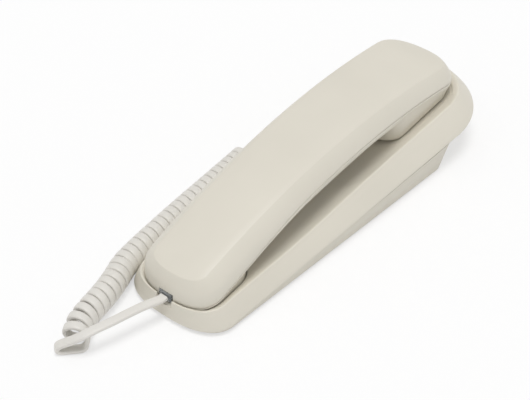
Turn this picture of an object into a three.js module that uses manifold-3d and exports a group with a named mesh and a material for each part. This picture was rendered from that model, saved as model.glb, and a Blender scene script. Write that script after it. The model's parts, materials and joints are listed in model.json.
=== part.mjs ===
// Slimline wall phone lying on its back, handset in its cradle.
// Millimetres, +Z up, +Y towards the earpiece end, +X the side with the open view of the cradle.
import * as THREE from 'three';
import { mergeVertices } from 'three/addons/utils/BufferGeometryUtils.js';
import Module from 'manifold-3d';

const wasm = await Module();
wasm.setup();

// ---- driving dimensions -------------------------------------------------------------------
const GAP = 0.3;                 // clearance between pieces that touch or nest
const WALL = 2.2;                // moulded wall thickness
const LENGTH = 221.6;            // whole length of the base
const MOUTH_TIP = -LENGTH / 2;
const EAR_TIP = LENGTH / 2;
const FOOT_STAND = 1.0;          // how far the feet lift the base off the table

const TRAY_START = MOUTH_TIP - 1.2;
const TRAY_LOW = 2.0;            // height of the tray plane there, its lowest
const TRAY_RISE = 18.72;         // its rise from there to the ear end
const TRAY_SLOPE = TRAY_RISE / (EAR_TIP - TRAY_START);
const RIM_HEIGHT = 10.5;         // rim crest above the tray plane
const RIM_DIP = 1.6;             // how far the rim sags along the grip
const RECESS_STEP = 0.8;         // depth of the step round the ear recess
const CUT_ABOVE = 60;            // how far cuts made from above start over the tray plane

const HANDSET_CROWN = 47.3;      // height of the handset crease over the middle of the base
const HANDSET_RISE = 15.73;      // its rise from tip to tip towards the ear end
const HANDSET_PITCH = HANDSET_RISE / LENGTH;
const HANDSET_SAG = 15.96;       // its fall from the middle to a tip, by its curve alone
const HANDSET_ARCH = HANDSET_SAG / EAR_TIP ** 2;
const SEAM_DROP = 9.0;           // seam between the two handset shells below the crease
const GRIP_DROP = 16.5;          // underside of the grip below the crease

const PANEL_Y = -8;              // middle of the flat key panel
const PANEL_DROP = 18.8;         // its depth there below the crease's middle
const PANEL_Z = HANDSET_CROWN - PANEL_DROP;
const PANEL_SLOPE = 0.0926;      // its rise towards the ear end
const KEY_TRAVEL = 1.2;
const KEY_PITCH_X = 11.6;
const KEY_PITCH_Y = 11.4;

const HOOK_TRAVEL = 3;
const PLUNGER_RADIUS = 4;

const JACK_X = -1.0;             // four-pole jack in the mouth end of the handset
const JACK_Z = 12.7;
const PLUG_WIDTH = 7.6;
const PLUG_HEIGHT = 6.2;
const PLUG_LENGTH = 11;

const BAND_WIDTH = 3.9;          // curled cord, flat band wound with its wide face outward
const BAND_THICK = 2.2;
const CORD_WIDTH = 4.8;          // straight flat cord
const CORD_THICK = 2.3;
const CURL_RADIUS = 5.5;         // centre line of the curls
const CURL_PITCH = 4.7;
const CURL_TURNS = 30;

// Plan outlines: half widths at both ends, the two end positions, how long the rounding of
// each end is and how square it is (2 is an ellipse).
const LOWER_EDGE = {
  mouthHalf: 29.8, earHalf: 41.0, mouthEnd: MOUTH_TIP, earEnd: EAR_TIP,
  mouthRound: 18, earRound: 38.5, mouthPower: 2.6, earPower: 2.1,
};
const HANDSET = {
  mouthHalf: 22.6, earHalf: 24.4, mouthEnd: MOUTH_TIP + 2.9, earEnd: EAR_TIP - 12.3,
  mouthRound: 15, earRound: 18, mouthPower: 2.6, earPower: 2.4,
};
const CRADLE_ROOM = { mouth: 2.2, ear: 5.9 }; // from the handset's side to the rim round it
const RIM_CREST = {
  mouthHalf: HANDSET.mouthHalf + CRADLE_ROOM.mouth, earHalf: HANDSET.earHalf + CRADLE_ROOM.ear,
  mouthEnd: MOUTH_TIP + 1.4, earEnd: EAR_TIP - 8.3,
  mouthRound: 16, earRound: 26, mouthPower: 2.6, earPower: 2.2,
};
const PEDESTAL_FOOT = {
  mouthHalf: 29.0, earHalf: 37.8, mouthEnd: MOUTH_TIP + 1.2, earEnd: EAR_TIP - 49.3,
  mouthRound: 17, earRound: 5, mouthPower: 2.6, earPower: 5,
};
const PEDESTAL_TOP = {
  mouthHalf: 29.2, earHalf: 40.2, mouthEnd: MOUTH_TIP + 0.6, earEnd: EAR_TIP - 44.3,
  mouthRound: 17.5, earRound: 5, mouthPower: 2.6, earPower: 5,
};
// The two cups hang below the handset, each a little inside its outline.
const CUP_INSET = 1.7;
const EAR_CUP_LENGTH = 62.3;
const MOUTH_CUP_LENGTH = 44.2;
const EAR_CUP = {
  mouthHalf: HANDSET.earHalf - CUP_INSET, earHalf: HANDSET.earHalf - CUP_INSET,
  mouthEnd: HANDSET.earEnd - CUP_INSET - EAR_CUP_LENGTH, earEnd: HANDSET.earEnd - CUP_INSET,
  mouthRound: 13, earRound: 17, mouthPower: 2.3, earPower: 2.3,
};
const MOUTH_CUP = {
  mouthHalf: HANDSET.mouthHalf - CUP_INSET, earHalf: HANDSET.mouthHalf - CUP_INSET,
  mouthEnd: HANDSET.mouthEnd + CUP_INSET, earEnd: HANDSET.mouthEnd + CUP_INSET + MOUTH_CUP_LENGTH,
  mouthRound: 13, earRound: 12, mouthPower: 2.5, earPower: 2.3,
};
const EAR_RECESS = {
  mouthHalf: HANDSET.earHalf + 3, earHalf: HANDSET.earHalf + 3,
  mouthEnd: EAR_CUP.mouthEnd - 37.5, earEnd: HANDSET.earEnd + 1,
  mouthRound: 14, earRound: 23, mouthPower: 2.5, earPower: 2.2,
};

const HOOK_Y = EAR_CUP.mouthEnd + 10.5; // hook plunger under the ear cup

// ---- height functions ---------------------------------------------------------------------
const tray = (y) => TRAY_LOW + TRAY_SLOPE * (y - TRAY_START);
const rim = (y) => tray(y) + RIM_HEIGHT - RIM_DIP * Math.exp(-(((y + 40) / 36) ** 2));
const crease = (y) => HANDSET_CROWN + HANDSET_PITCH * y - HANDSET_ARCH * y * y;
const seam = (y) => crease(y) - SEAM_DROP;
const panel = (y) => PANEL_Z + PANEL_SLOPE * (y - PANEL_Y);
const gripUnder = (y) => Math.min(crease(y) - GRIP_DROP, panel(y));
const PANEL_TILT = Math.atan(PANEL_SLOPE);
const TRAY_TILT = Math.atan(TRAY_SLOPE);

// ---- shape helpers ------------------------------------------------------------------------
const END_STEPS = 7;
const SIDE_STEPS = 12;

// Points of a plan outline, from the middle of the mouth end round by +X, moved inward.
function outline(shape, mouthInset = 0, earInset = mouthInset, ends = [mouthInset, earInset]) {
  const mouthHalf = shape.mouthHalf - mouthInset;
  const earHalf = shape.earHalf - earInset;
  const mouthEnd = shape.mouthEnd + ends[0];
  const earEnd = shape.earEnd - ends[1];
  const mouthRound = Math.max(shape.mouthRound - mouthInset, 2);
  const earRound = Math.max(shape.earRound - earInset, 2);
  const right = [];
  for (let i = 0; i <= END_STEPS; i += 1) {
    const t = (i / END_STEPS) * Math.PI / 2;
    const x = mouthHalf * Math.sin(t) ** (2 / shape.mouthPower);
    const y = mouthEnd + mouthRound * (1 - Math.cos(t) ** (2 / shape.mouthPower));
    right.push([i === 0 ? 0 : x, y]);
  }
  const sideStart = mouthEnd + mouthRound;
  const sideEnd = earEnd - earRound;
  for (let i = 1; i <= SIDE_STEPS; i += 1) {
    const t = i / SIDE_STEPS;
    right.push([mouthHalf + (earHalf - mouthHalf) * t, sideStart + (sideEnd - sideStart) * t]);
  }
  for (let i = 1; i <= END_STEPS; i += 1) {
    const t = (1 - i / END_STEPS) * Math.PI / 2;
    const x = earHalf * Math.sin(t) ** (2 / shape.earPower);
    const y = earEnd - earRound * (1 - Math.cos(t) ** (2 / shape.earPower));
    right.push([i === END_STEPS ? 0 : x, y]);
  }
  const left = right.slice(1, -1).reverse().map(([x, y]) => [-x, y]);
  return right.concat(left);
}

function blend(a, b, t) {
  return a.map(([x, y], i) => [x + (b[i][0] - x) * t, y + (b[i][1] - y) * t]);
}

function ring(points, height) {
  return points.map(([x, y]) => [x, y, height(y)]);
}

// Closed body through a list of rings; the first and last are closed straight across.
function ringStack(rings) {
  const count = rings[0].length;
  const half = count / 2;
  const positions = rings.flat(2);
  const index = [];
  const ladder = (base, flip) => {
    for (let i = 0; i < half; i += 1) {
      const a = base + i;
      const b = base + i + 1;
      const c = base + (count - i - 1) % count;
      const d = base + (count - i) % count;
      const faces = i === 0 ? [[a, b, c]] : i === half - 1 ? [[a, b, d]] : [[a, b, c], [a, c, d]];
      for (const [p, q, r] of faces) index.push(...(flip ? [p, r, q] : [p, q, r]));
    }
  };
  ladder(0, true);
  for (let k = 0; k < rings.length - 1; k += 1) {
    for (let i = 0; i < count; i += 1) {
      const j = (i + 1) % count;
      const a = k * count;
      const b = a + count;
      index.push(a + i, a + j, b + j, a + i, b + j, b + i);
    }
  }
  ladder((rings.length - 1) * count, false);
  const geometry = new THREE.BufferGeometry();
  geometry.setAttribute('position', new THREE.Float32BufferAttribute(positions, 3));
  geometry.setIndex(index);
  return solidOf(geometry);
}

function solidOf(geometry) {
  const plain = geometry.clone();
  plain.deleteAttribute('uv');
  plain.deleteAttribute('normal');
  const merged = mergeVertices(plain, 1e-4);
  return new wasm.Manifold(new wasm.Mesh({
    numProp: 3,
    vertProperties: new Float32Array(merged.attributes.position.array),
    triVerts: new Uint32Array(merged.index.array),
  }));
}

function geometryOf(solid) {
  const mesh = solid.getMesh();
  const geometry = new THREE.BufferGeometry();
  geometry.setAttribute('position', new THREE.BufferAttribute(mesh.vertProperties, 3));
  geometry.setIndex(new THREE.BufferAttribute(mesh.triVerts, 1));
  geometry.computeVertexNormals();
  return geometry;
}

function boxAt(width, depth, height, x, y, z) {
  return new THREE.BoxGeometry(width, depth, height).translate(x, y, z);
}

// Cylinder standing on z, its lower face at z.
function discAt(radius, height, x, y, z, sides = 24) {
  return new THREE.CylinderGeometry(radius, radius, height, sides)
    .rotateX(Math.PI / 2)
    .translate(x, y, z + height / 2);
}

// Turned body: profile of [radius, z] pairs that starts and ends on the axis.
function turned(profile, sides = 24) {
  const points = profile.map(([r, z]) => new THREE.Vector2(r, z));
  return new THREE.LatheGeometry(points, sides).rotateX(Math.PI / 2);
}

function roundedPlate(width, depth, radius, thickness, corner = 3) {
  const x = width / 2;
  const y = depth / 2;
  const shape = new THREE.Shape();
  shape.moveTo(-x + radius, -y);
  shape.lineTo(x - radius, -y);
  shape.absarc(x - radius, -y + radius, radius, -Math.PI / 2, 0, false);
  shape.lineTo(x, y - radius);
  shape.absarc(x - radius, y - radius, radius, 0, Math.PI / 2, false);
  shape.lineTo(-x + radius, y);
  shape.absarc(-x + radius, y - radius, radius, Math.PI / 2, Math.PI, false);
  shape.lineTo(-x, -y + radius);
  shape.absarc(-x + radius, -y + radius, radius, Math.PI, 1.5 * Math.PI, false);
  return new THREE.ExtrudeGeometry(shape, {
    depth: thickness,
    bevelEnabled: false,
    curveSegments: corner,
  });
}

const group = new THREE.Group();
group.name = 'slimline_wall_phone';

function addPiece(name, geometry, finish) {
  const material = new THREE.MeshStandardMaterial(finish);
  const mesh = new THREE.Mesh(geometry, material);
  mesh.name = name;
  group.add(mesh);
  return mesh;
}

const IVORY = { color: 0xdcd9ce, roughness: 0.5, metalness: 0 };
const SHADE_IVORY = { color: 0xd6d2c6, roughness: 0.55, metalness: 0 };
const KEY_IVORY = { color: 0xe4e2da, roughness: 0.45, metalness: 0 };
const BLACK_PLASTIC = { color: 0x1c1c1e, roughness: 0.5, metalness: 0 };
const RUBBER = { color: 0x3a3a3c, roughness: 0.9, metalness: 0 };
const BOARD_GREEN = { color: 0x2f6b3c, roughness: 0.6, metalness: 0 };
const STEEL = { color: 0xb8bcc0, roughness: 0.35, metalness: 1 };
const MAT_GREY = { color: 0x8d8f92, roughness: 0.85, metalness: 0 };
const CLEAR = { color: 0xe8ecee, roughness: 0.12, metalness: 0, transparent: true, opacity: 0.5 };
const CORD_WHITE = { color: 0xe2e1db, roughness: 0.5, metalness: 0 };

// ---- base: upper shell --------------------------------------------------------------------
// The concave cradle surface: how deep it lies at each distance in from the rim crest.
const CHANNEL = [[0, 0], [1.4, 0.45], [3.6, 1.7], [7, 3.1], [11, 4.3], [16, 5.2], [20, 5.5]];
const SHELL_UNDER = 2.6;         // underside of the cradle floor above the tray plane
const POCKET_FLOOR = 2.4;        // floor of the mouth pocket above the tray plane
const CUP_SEAT = 6.4;            // bottom of the ear cup above the tray plane
const MOUTH_SEAT = 2.8;          // bottom of the mouth cup above the tray plane

function channelRings(lowered) {
  return CHANNEL.map(([inset, depth]) => (
    ring(outline(RIM_CREST, inset), (y) => rim(y) - depth - lowered)
  ));
}

function openSpaceAbove(lowered) {
  const rings = channelRings(lowered).reverse();
  rings.push(ring(outline(RIM_CREST), (y) => rim(y) + CUT_ABOVE));
  return ringStack(rings);
}

function prism(shape, inset, low, high) {
  const points = outline(shape, inset);
  return ringStack([ring(points, low), ring(points, high)]);
}

const HOLE_SIDES = 20;
const drill = (radius, x, y, z, height, sides = HOLE_SIDES) => (
  solidOf(discAt(radius, height, x, y, z, sides))
);

const SCREW_SHANK = 1.4;
const SCREW_HEAD = 2.9;
const SCREW_HEAD_HEIGHT = 1.7;
const SCREW_BOSS = 3.6;          // radius of the boss each screw threads into
// The lower cover's hollow: its sloping walls go inward from the pedestal's top edge.
const COVER_WALL = 5.2;
const COVER_INNER = PEDESTAL_TOP.earHalf - COVER_WALL;
const COVER_END_WALL = 7.9;      // the same at its ear end
const COVER_END = PEDESTAL_TOP.earEnd - COVER_END_WALL;
const HOLLOW = {
  mouthHalf: PEDESTAL_FOOT.mouthHalf, earHalf: COVER_INNER,
  mouthEnd: MOUTH_TIP + 67.4, earEnd: COVER_END,
  mouthRound: 8, earRound: 4, mouthPower: 2.6, earPower: 6,
};
// Half width of that hollow along its straight sides.
function hollowHalf(y) {
  const start = HOLLOW.mouthEnd + HOLLOW.mouthRound;
  const end = HOLLOW.earEnd - HOLLOW.earRound;
  return HOLLOW.mouthHalf + (HOLLOW.earHalf - HOLLOW.mouthHalf) * (y - start) / (end - start);
}
// Four screws from below: place, and height of the screw land in the lower cover.
const NEAR_SCREW = { x: COVER_INNER - 11, y: HOLLOW.mouthEnd + 5.4, land: 3.6 };
const FAR_SCREW = { x: COVER_INNER - 8, y: COVER_END - 22.6, land: 6 };
const BASE_SCREWS = [
  [-NEAR_SCREW.x, NEAR_SCREW.y, NEAR_SCREW.land], [NEAR_SCREW.x, NEAR_SCREW.y, NEAR_SCREW.land],
  [-FAR_SCREW.x, FAR_SCREW.y, FAR_SCREW.land], [FAR_SCREW.x, FAR_SCREW.y, FAR_SCREW.land],
];
const LAND = 2.6;                // thickness of that land
const BASE_BOSS_TOP = 5;         // root of the bosses above the tray plane
const BASE_BORE_TOP = 3.6;       // end of their bores above it
const BASE_SCREW_TIP = 3;        // tip of the screws above it

function makeBaseShell() {
  const lowerEdge = outline(LOWER_EDGE);
  const crest = outline(RIM_CREST);
  let shell = ringStack([
    ring(outline(RIM_CREST, 19), (y) => tray(y) + SHELL_UNDER),
    ring(outline(RIM_CREST, 9), (y) => tray(y) + SHELL_UNDER + 0.3),
    ring(outline(RIM_CREST, 3.4), (y) => rim(y) - 4.6),
    ring(blend(outline(LOWER_EDGE, 2.6), outline(RIM_CREST, 2.6), 0.5), (y) => tray(y) + 4.2),
    ring(outline(LOWER_EDGE, 2.6), tray),
    ring(lowerEdge, tray),
    ring(blend(lowerEdge, crest, 0.06), (y) => tray(y) + 1.6),
    ring(blend(lowerEdge, crest, 0.5), (y) => tray(y) + (rim(y) - tray(y)) * 0.6),
    ring(blend(lowerEdge, crest, 0.86), (y) => rim(y) - 0.7),
    ...channelRings(0),
  ]);
  const mouthFill = {
    ...RIM_CREST, earHalf: RIM_CREST.mouthHalf + 0.8, earEnd: MOUTH_CUP.earEnd + 4, earRound: 8,
  };
  shell = shell.add(prism(mouthFill, 1.6, (y) => tray(y) + 0.4, (y) => tray(y) + 5.5));
  for (const [x, y, land] of BASE_SCREWS) {
    const low = land + LAND + GAP;
    shell = shell.add(drill(SCREW_BOSS, x, y, low, tray(y) + BASE_BOSS_TOP - low, 16));
    shell = shell.subtract(drill(SCREW_SHANK + GAP, x, y, 0, tray(y) + BASE_BORE_TOP, 12));
  }
  const recess = openSpaceAbove(RECESS_STEP)
    .intersect(prism(EAR_RECESS, 0, tray, (y) => tray(y) + CUT_ABOVE));
  const pocket = {
    ...HANDSET, mouthHalf: HANDSET.mouthHalf + 0.9, earHalf: HANDSET.mouthHalf + 1.5,
    mouthEnd: HANDSET.mouthEnd - 0.9, earEnd: MOUTH_CUP.earEnd + 1, earRound: 14,
  };
  const notchFloor = JACK_Z - PLUG_HEIGHT / 2 - 0.5;
  const notch = boxAt(PLUG_WIDTH + 1.8, 9, 12, JACK_X, RIM_CREST.mouthEnd, notchFloor + 6);
  return shell
    .subtract(recess)
    .subtract(prism(pocket, 0, (y) => tray(y) + POCKET_FLOOR, (y) => tray(y) + CUT_ABOVE))
    .subtract(solidOf(notch))
    .subtract(drill(PLUNGER_RADIUS + GAP, 0, HOOK_Y, tray(HOOK_Y) - 2, 20));
}
addPiece('base_upper_shell', geometryOf(makeBaseShell()), IVORY);

// ---- base: lower cover with its wedge pedestal --------------------------------------------
const FLOOR = 2.4;
const floorTop = FOOT_STAND + FLOOR;
const FOOT_RADIUS = 5;
const FOOT_SEAT = 0.8;
const FEET_MOUTH_Y = PEDESTAL_FOOT.mouthEnd + 17.6;
const FEET_EAR_Y = PEDESTAL_FOOT.earEnd - 11.5;
const FEET_MOUTH_X = PEDESTAL_FOOT.mouthHalf - 8;
const FEET_EAR_X = PEDESTAL_FOOT.earHalf - 9.8;
const FEET = [
  [-FEET_MOUTH_X, FEET_MOUTH_Y], [FEET_MOUTH_X, FEET_MOUTH_Y],
  [-FEET_EAR_X, FEET_EAR_Y], [FEET_EAR_X, FEET_EAR_Y],
];
const KEYHOLES = [-56, 27];      // wall screws 83 mm apart on the middle line
const KEYHOLE = { entry: 4.2, entryY: -6, slot: 2.2, slotY: 5, depth: 3.6 };
const RINGER = { radius: 12, height: 5.4, chamfer: 0.8, y: HOLLOW.mouthEnd + 15.4 };
// The board fills the hollow between the ringer and the line jack's wall.
const BOARD_ENDS = [RINGER.y + RINGER.radius + 4, COVER_END - 10.6];
const BOARD = {
  width: 40, depth: BOARD_ENDS[1] - BOARD_ENDS[0], thick: 1.6,
  y: (BOARD_ENDS[0] + BOARD_ENDS[1]) / 2, z: 6.2,
};
const POST_X = BOARD.width / 2 - 4;
const POST_Y = BOARD.depth / 2 - 4;
const BOARD_POSTS = [
  [-POST_X, BOARD.y - POST_Y], [POST_X, BOARD.y - POST_Y],
  [-POST_X, BOARD.y + POST_Y], [POST_X, BOARD.y + POST_Y],
];
const SLOT_LENGTH = 9.2;
const SLOT_HEIGHT = 3.2;
const SLIDER_Z = 10;
const SLIDER_TRAVEL = 3.6;       // from one end of its slot to the other
const RINGER_SLIDER_Y = COVER_END - 11.6;
const TONE_SLIDER_X = -16;
const CUT_DEPTH = 16;            // how deep the cuts for jacks and knobs go through a wall
const LINE_JACK = { width: 11.8, depth: 12.5, height: 9.8, x: 10, z: 9.6, face: COVER_END + 4.6 };
const CORD_JACK = {
  width: 10.6, depth: 12.5, height: 8.0, y: FAR_SCREW.y - 11, z: 7.6, face: -COVER_INNER - 1,
};

function makeCover() {
  let cover = ringStack([
    ring(outline(PEDESTAL_FOOT, 0.7), () => FOOT_STAND),
    ring(outline(PEDESTAL_FOOT), () => FOOT_STAND + 0.45),
    ring(outline(PEDESTAL_TOP), (y) => Math.max(tray(y) - GAP, FOOT_STAND + 0.7)),
  ]);
  const closure = {
    ...LOWER_EDGE, mouthHalf: LOWER_EDGE.mouthHalf + 2.6, mouthEnd: HOLLOW.mouthEnd - 6.6, mouthRound: 12,
  };
  cover = cover.add(ringStack([
    ring(outline(closure, 3.0), (y) => tray(y) - 1.0),
    ring(outline(closure, 3.0), tray),
    ring(outline(closure, 5.4), (y) => tray(y) + 1.4),
  ]));
  cover = cover.subtract(prism(HOLLOW, 0, () => floorTop, (y) => tray(y) + 8));
  for (const [x, y] of BOARD_POSTS) {
    cover = cover.add(drill(3, x, y, floorTop - 0.5, BOARD.z - GAP - floorTop + 0.5, 16));
  }
  for (const [x, y, land] of BASE_SCREWS) {
    cover = cover.add(drill(4.6, x, y, floorTop - 0.5, land + LAND - floorTop + 0.5, 16));
    cover = cover.subtract(drill(SCREW_HEAD + 0.4, x, y, 0, land));
    cover = cover.subtract(drill(SCREW_SHANK + GAP, x, y, 0, 12, 12));
    cover = cover.subtract(drill(SCREW_BOSS + GAP, x, y, land + LAND, 20, 16));
  }
  for (const y of KEYHOLES) {
    const { entry, entryY, slot, slotY, depth } = KEYHOLE;
    const way = boxAt(2 * slot, slotY - entryY, depth, 0, y + (slotY + entryY) / 2, depth / 2);
    cover = cover.subtract(drill(entry, 0, y + entryY, 0, depth + GAP));
    cover = cover.subtract(drill(slot, 0, y + slotY, 0, depth));
    cover = cover.subtract(solidOf(way));
  }
  for (const [x, y] of FEET) {
    cover = cover.subtract(drill(FOOT_RADIUS + GAP, x, y, 0, FOOT_STAND + FOOT_SEAT, 24));
  }
  for (const [x, y] of [[0, 0], [4, 0], [-4, 0], [2, 3.5], [-2, 3.5], [2, -3.5], [-2, -3.5]]) {
    cover = cover.subtract(drill(1.1, x, RINGER.y + y, 0, 5, 8));
  }
  const lineCut = [LINE_JACK.width + 2 * GAP, CUT_DEPTH, LINE_JACK.height + 2 * GAP];
  const cordCut = [CUT_DEPTH, CORD_JACK.width + 2 * GAP, CORD_JACK.height + 2 * GAP];
  const cutX = -COVER_INNER - 2;
  const cutY = COVER_END + 4.4;
  return cover
    .subtract(solidOf(boxAt(...lineCut, LINE_JACK.x, cutY, LINE_JACK.z)))
    .subtract(solidOf(boxAt(...cordCut, cutX, CORD_JACK.y, CORD_JACK.z)))
    .subtract(solidOf(boxAt(CUT_DEPTH, SLOT_LENGTH, SLOT_HEIGHT, cutX - 1, RINGER_SLIDER_Y, SLIDER_Z)))
    .subtract(solidOf(boxAt(SLOT_LENGTH, CUT_DEPTH, SLOT_HEIGHT, TONE_SLIDER_X, cutY, SLIDER_Z)));
}
addPiece('base_lower_cover', geometryOf(makeCover()), SHADE_IVORY);

FEET.forEach(([x, y], i) => {
  const top = FOOT_STAND + FOOT_SEAT - GAP;
  const foot = turned([
    [0, 0], [FOOT_RADIUS - 0.8, 0], [FOOT_RADIUS, 0.5], [FOOT_RADIUS, top], [0, top],
  ]);
  addPiece(`foot_${i + 1}`, foot.translate(x, y, 0), RUBBER);
});

function screwGeometry(headTop, tip) {
  return turned([
    [0, headTop - SCREW_HEAD_HEIGHT], [SCREW_HEAD - 0.3, headTop - SCREW_HEAD_HEIGHT],
    [SCREW_HEAD, headTop - SCREW_HEAD_HEIGHT + 0.4], [SCREW_HEAD, headTop],
    [SCREW_SHANK, headTop], [SCREW_SHANK, tip - 1], [0, tip],
  ], 12);
}

BASE_SCREWS.forEach(([x, y, land], i) => {
  const screw = screwGeometry(land - GAP, tray(y) + BASE_SCREW_TIP);
  addPiece(`base_screw_${i + 1}`, screw.translate(x, y, 0), STEEL);
});

// ---- base: inside -------------------------------------------------------------------------
const boardTop = BOARD.z + BOARD.thick;
addPiece(
  'base_board',
  boxAt(BOARD.width, BOARD.depth, BOARD.thick, 0, BOARD.y, boardTop - BOARD.thick / 2),
  BOARD_GREEN,
);

function lineJackSolid() {
  const { width, depth, height, x, z, face } = LINE_JACK;
  const block = solidOf(boxAt(width, depth, height, x, face - depth / 2, z));
  const socket = boxAt(9.8, 18, 6.8, x, face, z - 0.4);
  const latch = boxAt(3.4, 18, 2.6, x, face, z + 3.2);
  return block.subtract(solidOf(socket)).subtract(solidOf(latch));
}
addPiece('line_jack', geometryOf(lineJackSolid()), BLACK_PLASTIC);

// Four-pole jack block that faces -Y, the middle of its socket at the origin. It may stand
// on a foot that reaches further down.
function smallJack({ width, depth, height, foot = 0 }) {
  const block = solidOf(boxAt(width, depth, height + foot, 0, depth / 2, -foot / 2));
  const socket = boxAt(PLUG_WIDTH + 0.6, 19.6, PLUG_HEIGHT + 0.6, 0, 0, 0);
  return geometryOf(block.subtract(solidOf(socket)));
}
addPiece(
  'base_cord_jack',
  smallJack(CORD_JACK)
    .rotateZ(-Math.PI / 2)
    .translate(CORD_JACK.face, CORD_JACK.y, CORD_JACK.z),
  BLACK_PLASTIC,
);

const ringer = turned([
  [0, 0], [RINGER.radius - RINGER.chamfer, 0], [RINGER.radius, RINGER.chamfer],
  [RINGER.radius, RINGER.height - RINGER.chamfer],
  [RINGER.radius - RINGER.chamfer, RINGER.height], [0, RINGER.height],
]);
addPiece('ringer_capsule', ringer.translate(0, RINGER.y, floorTop + GAP), BLACK_PLASTIC);

// Hook plunger, pressed down by the ear cup, and the switch under it.
const cupSeat = (y) => tray(y) + CUP_SEAT;
const mouthSeat = (y) => tray(y) + MOUTH_SEAT;
const plungerTop = cupSeat(HOOK_Y - PLUNGER_RADIUS) - GAP;
const flangeTop = tray(HOOK_Y) + SHELL_UNDER - GAP - HOOK_TRAVEL - 0.3;
const PLUNGER_FLANGE = { rim: 1.4, thick: 1.4 };
const flangeLow = flangeTop - PLUNGER_FLANGE.thick;
const plunger = turned([
  [0, flangeLow], [PLUNGER_RADIUS + PLUNGER_FLANGE.rim, flangeLow],
  [PLUNGER_RADIUS + PLUNGER_FLANGE.rim, flangeTop], [PLUNGER_RADIUS, flangeTop],
  [PLUNGER_RADIUS, plungerTop - 1.0], [PLUNGER_RADIUS - 1.2, plungerTop - 0.2], [0, plungerTop],
], 24);
addPiece('hook_plunger', plunger.translate(0, HOOK_Y, 0), IVORY);
const switchHeight = flangeLow - boardTop - 2 * GAP;
addPiece(
  'hook_switch',
  boxAt(12.8, 6.4, switchHeight, 0, HOOK_Y - 1, boardTop + GAP + switchHeight / 2),
  BLACK_PLASTIC,
);

// Slider knob with its flange inside the wall; the knob points to -Y from the wall's inner face.
function sliderGeometry(reach) {
  const length = SLOT_LENGTH - SLIDER_TRAVEL - 2 * GAP;
  const knob = boxAt(length, reach, SLOT_HEIGHT - 2 * GAP, 0, -reach / 2 + 0.1, 0);
  const flange = boxAt(SLOT_LENGTH + SLIDER_TRAVEL + 1, 1.2, SLOT_HEIGHT + 2, 0, 0.6 + GAP, 0);
  const neck = boxAt(3, 1.2, SLOT_HEIGHT - 2 * GAP, 0, 0.3, 0);
  return geometryOf(solidOf(knob).add(solidOf(neck)).add(solidOf(flange)));
}
addPiece(
  'ringer_slider',
  sliderGeometry(6.4)
    .rotateZ(-Math.PI / 2)
    .translate(0.5 - hollowHalf(RINGER_SLIDER_Y), RINGER_SLIDER_Y + SLIDER_TRAVEL / 2, SLIDER_Z),
  BLACK_PLASTIC,
);
addPiece(
  'tone_slider',
  sliderGeometry(7.2)
    .rotateZ(Math.PI)
    .translate(TONE_SLIDER_X - SLIDER_TRAVEL / 2, COVER_END, SLIDER_Z),
  BLACK_PLASTIC,
);
const SWITCH = { length: 12, depth: 5.5, height: 6 };
const ringerSwitchX = 5.5 - hollowHalf(RINGER_SLIDER_Y);
addPiece(
  'ringer_switch',
  boxAt(SWITCH.depth, SWITCH.length, SWITCH.height, ringerSwitchX, RINGER_SLIDER_Y, SLIDER_Z),
  BLACK_PLASTIC,
);
addPiece(
  'tone_switch',
  boxAt(SWITCH.length, SWITCH.depth, SWITCH.height, TONE_SLIDER_X, COVER_END - 5, SLIDER_Z),
  BLACK_PLASTIC,
);

// ---- handset: shells ----------------------------------------------------------------------
const BEVEL_MOUTH = 6.9;
const BEVEL_EAR = 4.5;
const CROWN = 0.8;               // rise of the top face above the crease
const HANDSET_BOARD = { width: 37, depth: 70, y: -3.5 };
const HANDSET_BOARD_ENDS = [-1, 1].map((side) => (
  PANEL_Y + HANDSET_BOARD.y + side * HANDSET_BOARD.depth / 2
));
const HANDSET_SCREWS = [[0, MOUTH_CUP.earEnd - 9.8], [0, HANDSET_BOARD_ENDS[1] + 8.5]];
const SCREW_REACH = 6.5;         // how far a handset screw goes into its boss

// Handset outline moved in by a share of the bevel width plus a fixed distance.
function bevelRing(share, extra, drop) {
  const ends = [3.5 * share + extra, BEVEL_EAR * share + extra];
  const points = outline(HANDSET, BEVEL_MOUTH * share + extra, BEVEL_EAR * share + extra, ends);
  return ring(points, (y) => crease(y) - drop);
}

function makeTopShell() {
  const start = SEAM_DROP - GAP / 2;
  let shell = ringStack([
    bevelRing(1, 12, WALL - CROWN),
    bevelRing(1, 3, WALL + 0.1),
    bevelRing(0.55, WALL, WALL + 2.8),
    bevelRing(0, WALL, start),
    bevelRing(0, 0, start),
    bevelRing(0.16, 0, SEAM_DROP * 0.66),
    bevelRing(0.5, 0, SEAM_DROP * 0.34),
    bevelRing(0.86, 0, 1.1),
    bevelRing(1, 0.4, 0.25),
    bevelRing(1, 3, -CROWN * 0.4),
    bevelRing(1, 8, -CROWN * 0.85),
    bevelRing(1, 14, -CROWN),
  ]);
  for (const [x, y] of HANDSET_SCREWS) {
    const low = screwLand(y) + LAND + GAP;
    shell = shell.add(drill(3.4, x, y, low, crease(y) - 1.2 - low, 16));
    shell = shell.subtract(drill(SCREW_SHANK + GAP, x, y, low - 1, SCREW_REACH + 1.5, 12));
  }
  return shell;
}

// Height of the land that each handset screw's head pulls against.
function screwLand(y) {
  return underside(y) + 3.4;
}

// Lowest face of the handset along its middle: a cup's floor or the grip.
function underside(y) {
  if (y < MOUTH_CUP.earEnd) return mouthSeat(y);
  return y > EAR_CUP.mouthEnd ? cupSeat(y) : gripUnder(y);
}

const GRIP_WALL = 3.2;           // thickness of the grip's underside
const MOUTH_FLOOR = 1.7;         // floor thickness of the mouth cup
const bottomTop = (y) => seam(y) - GAP / 2;
const KEY_COLUMNS = 3;
const KEY_ROWS = 5;
const PLATE = { width: 38, depth: 62, thick: 1.6 };
const WINDOW_WIDTH = KEY_COLUMNS * KEY_PITCH_X - 0.4;
const WINDOW_DEPTH = KEY_ROWS * KEY_PITCH_Y;

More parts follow.
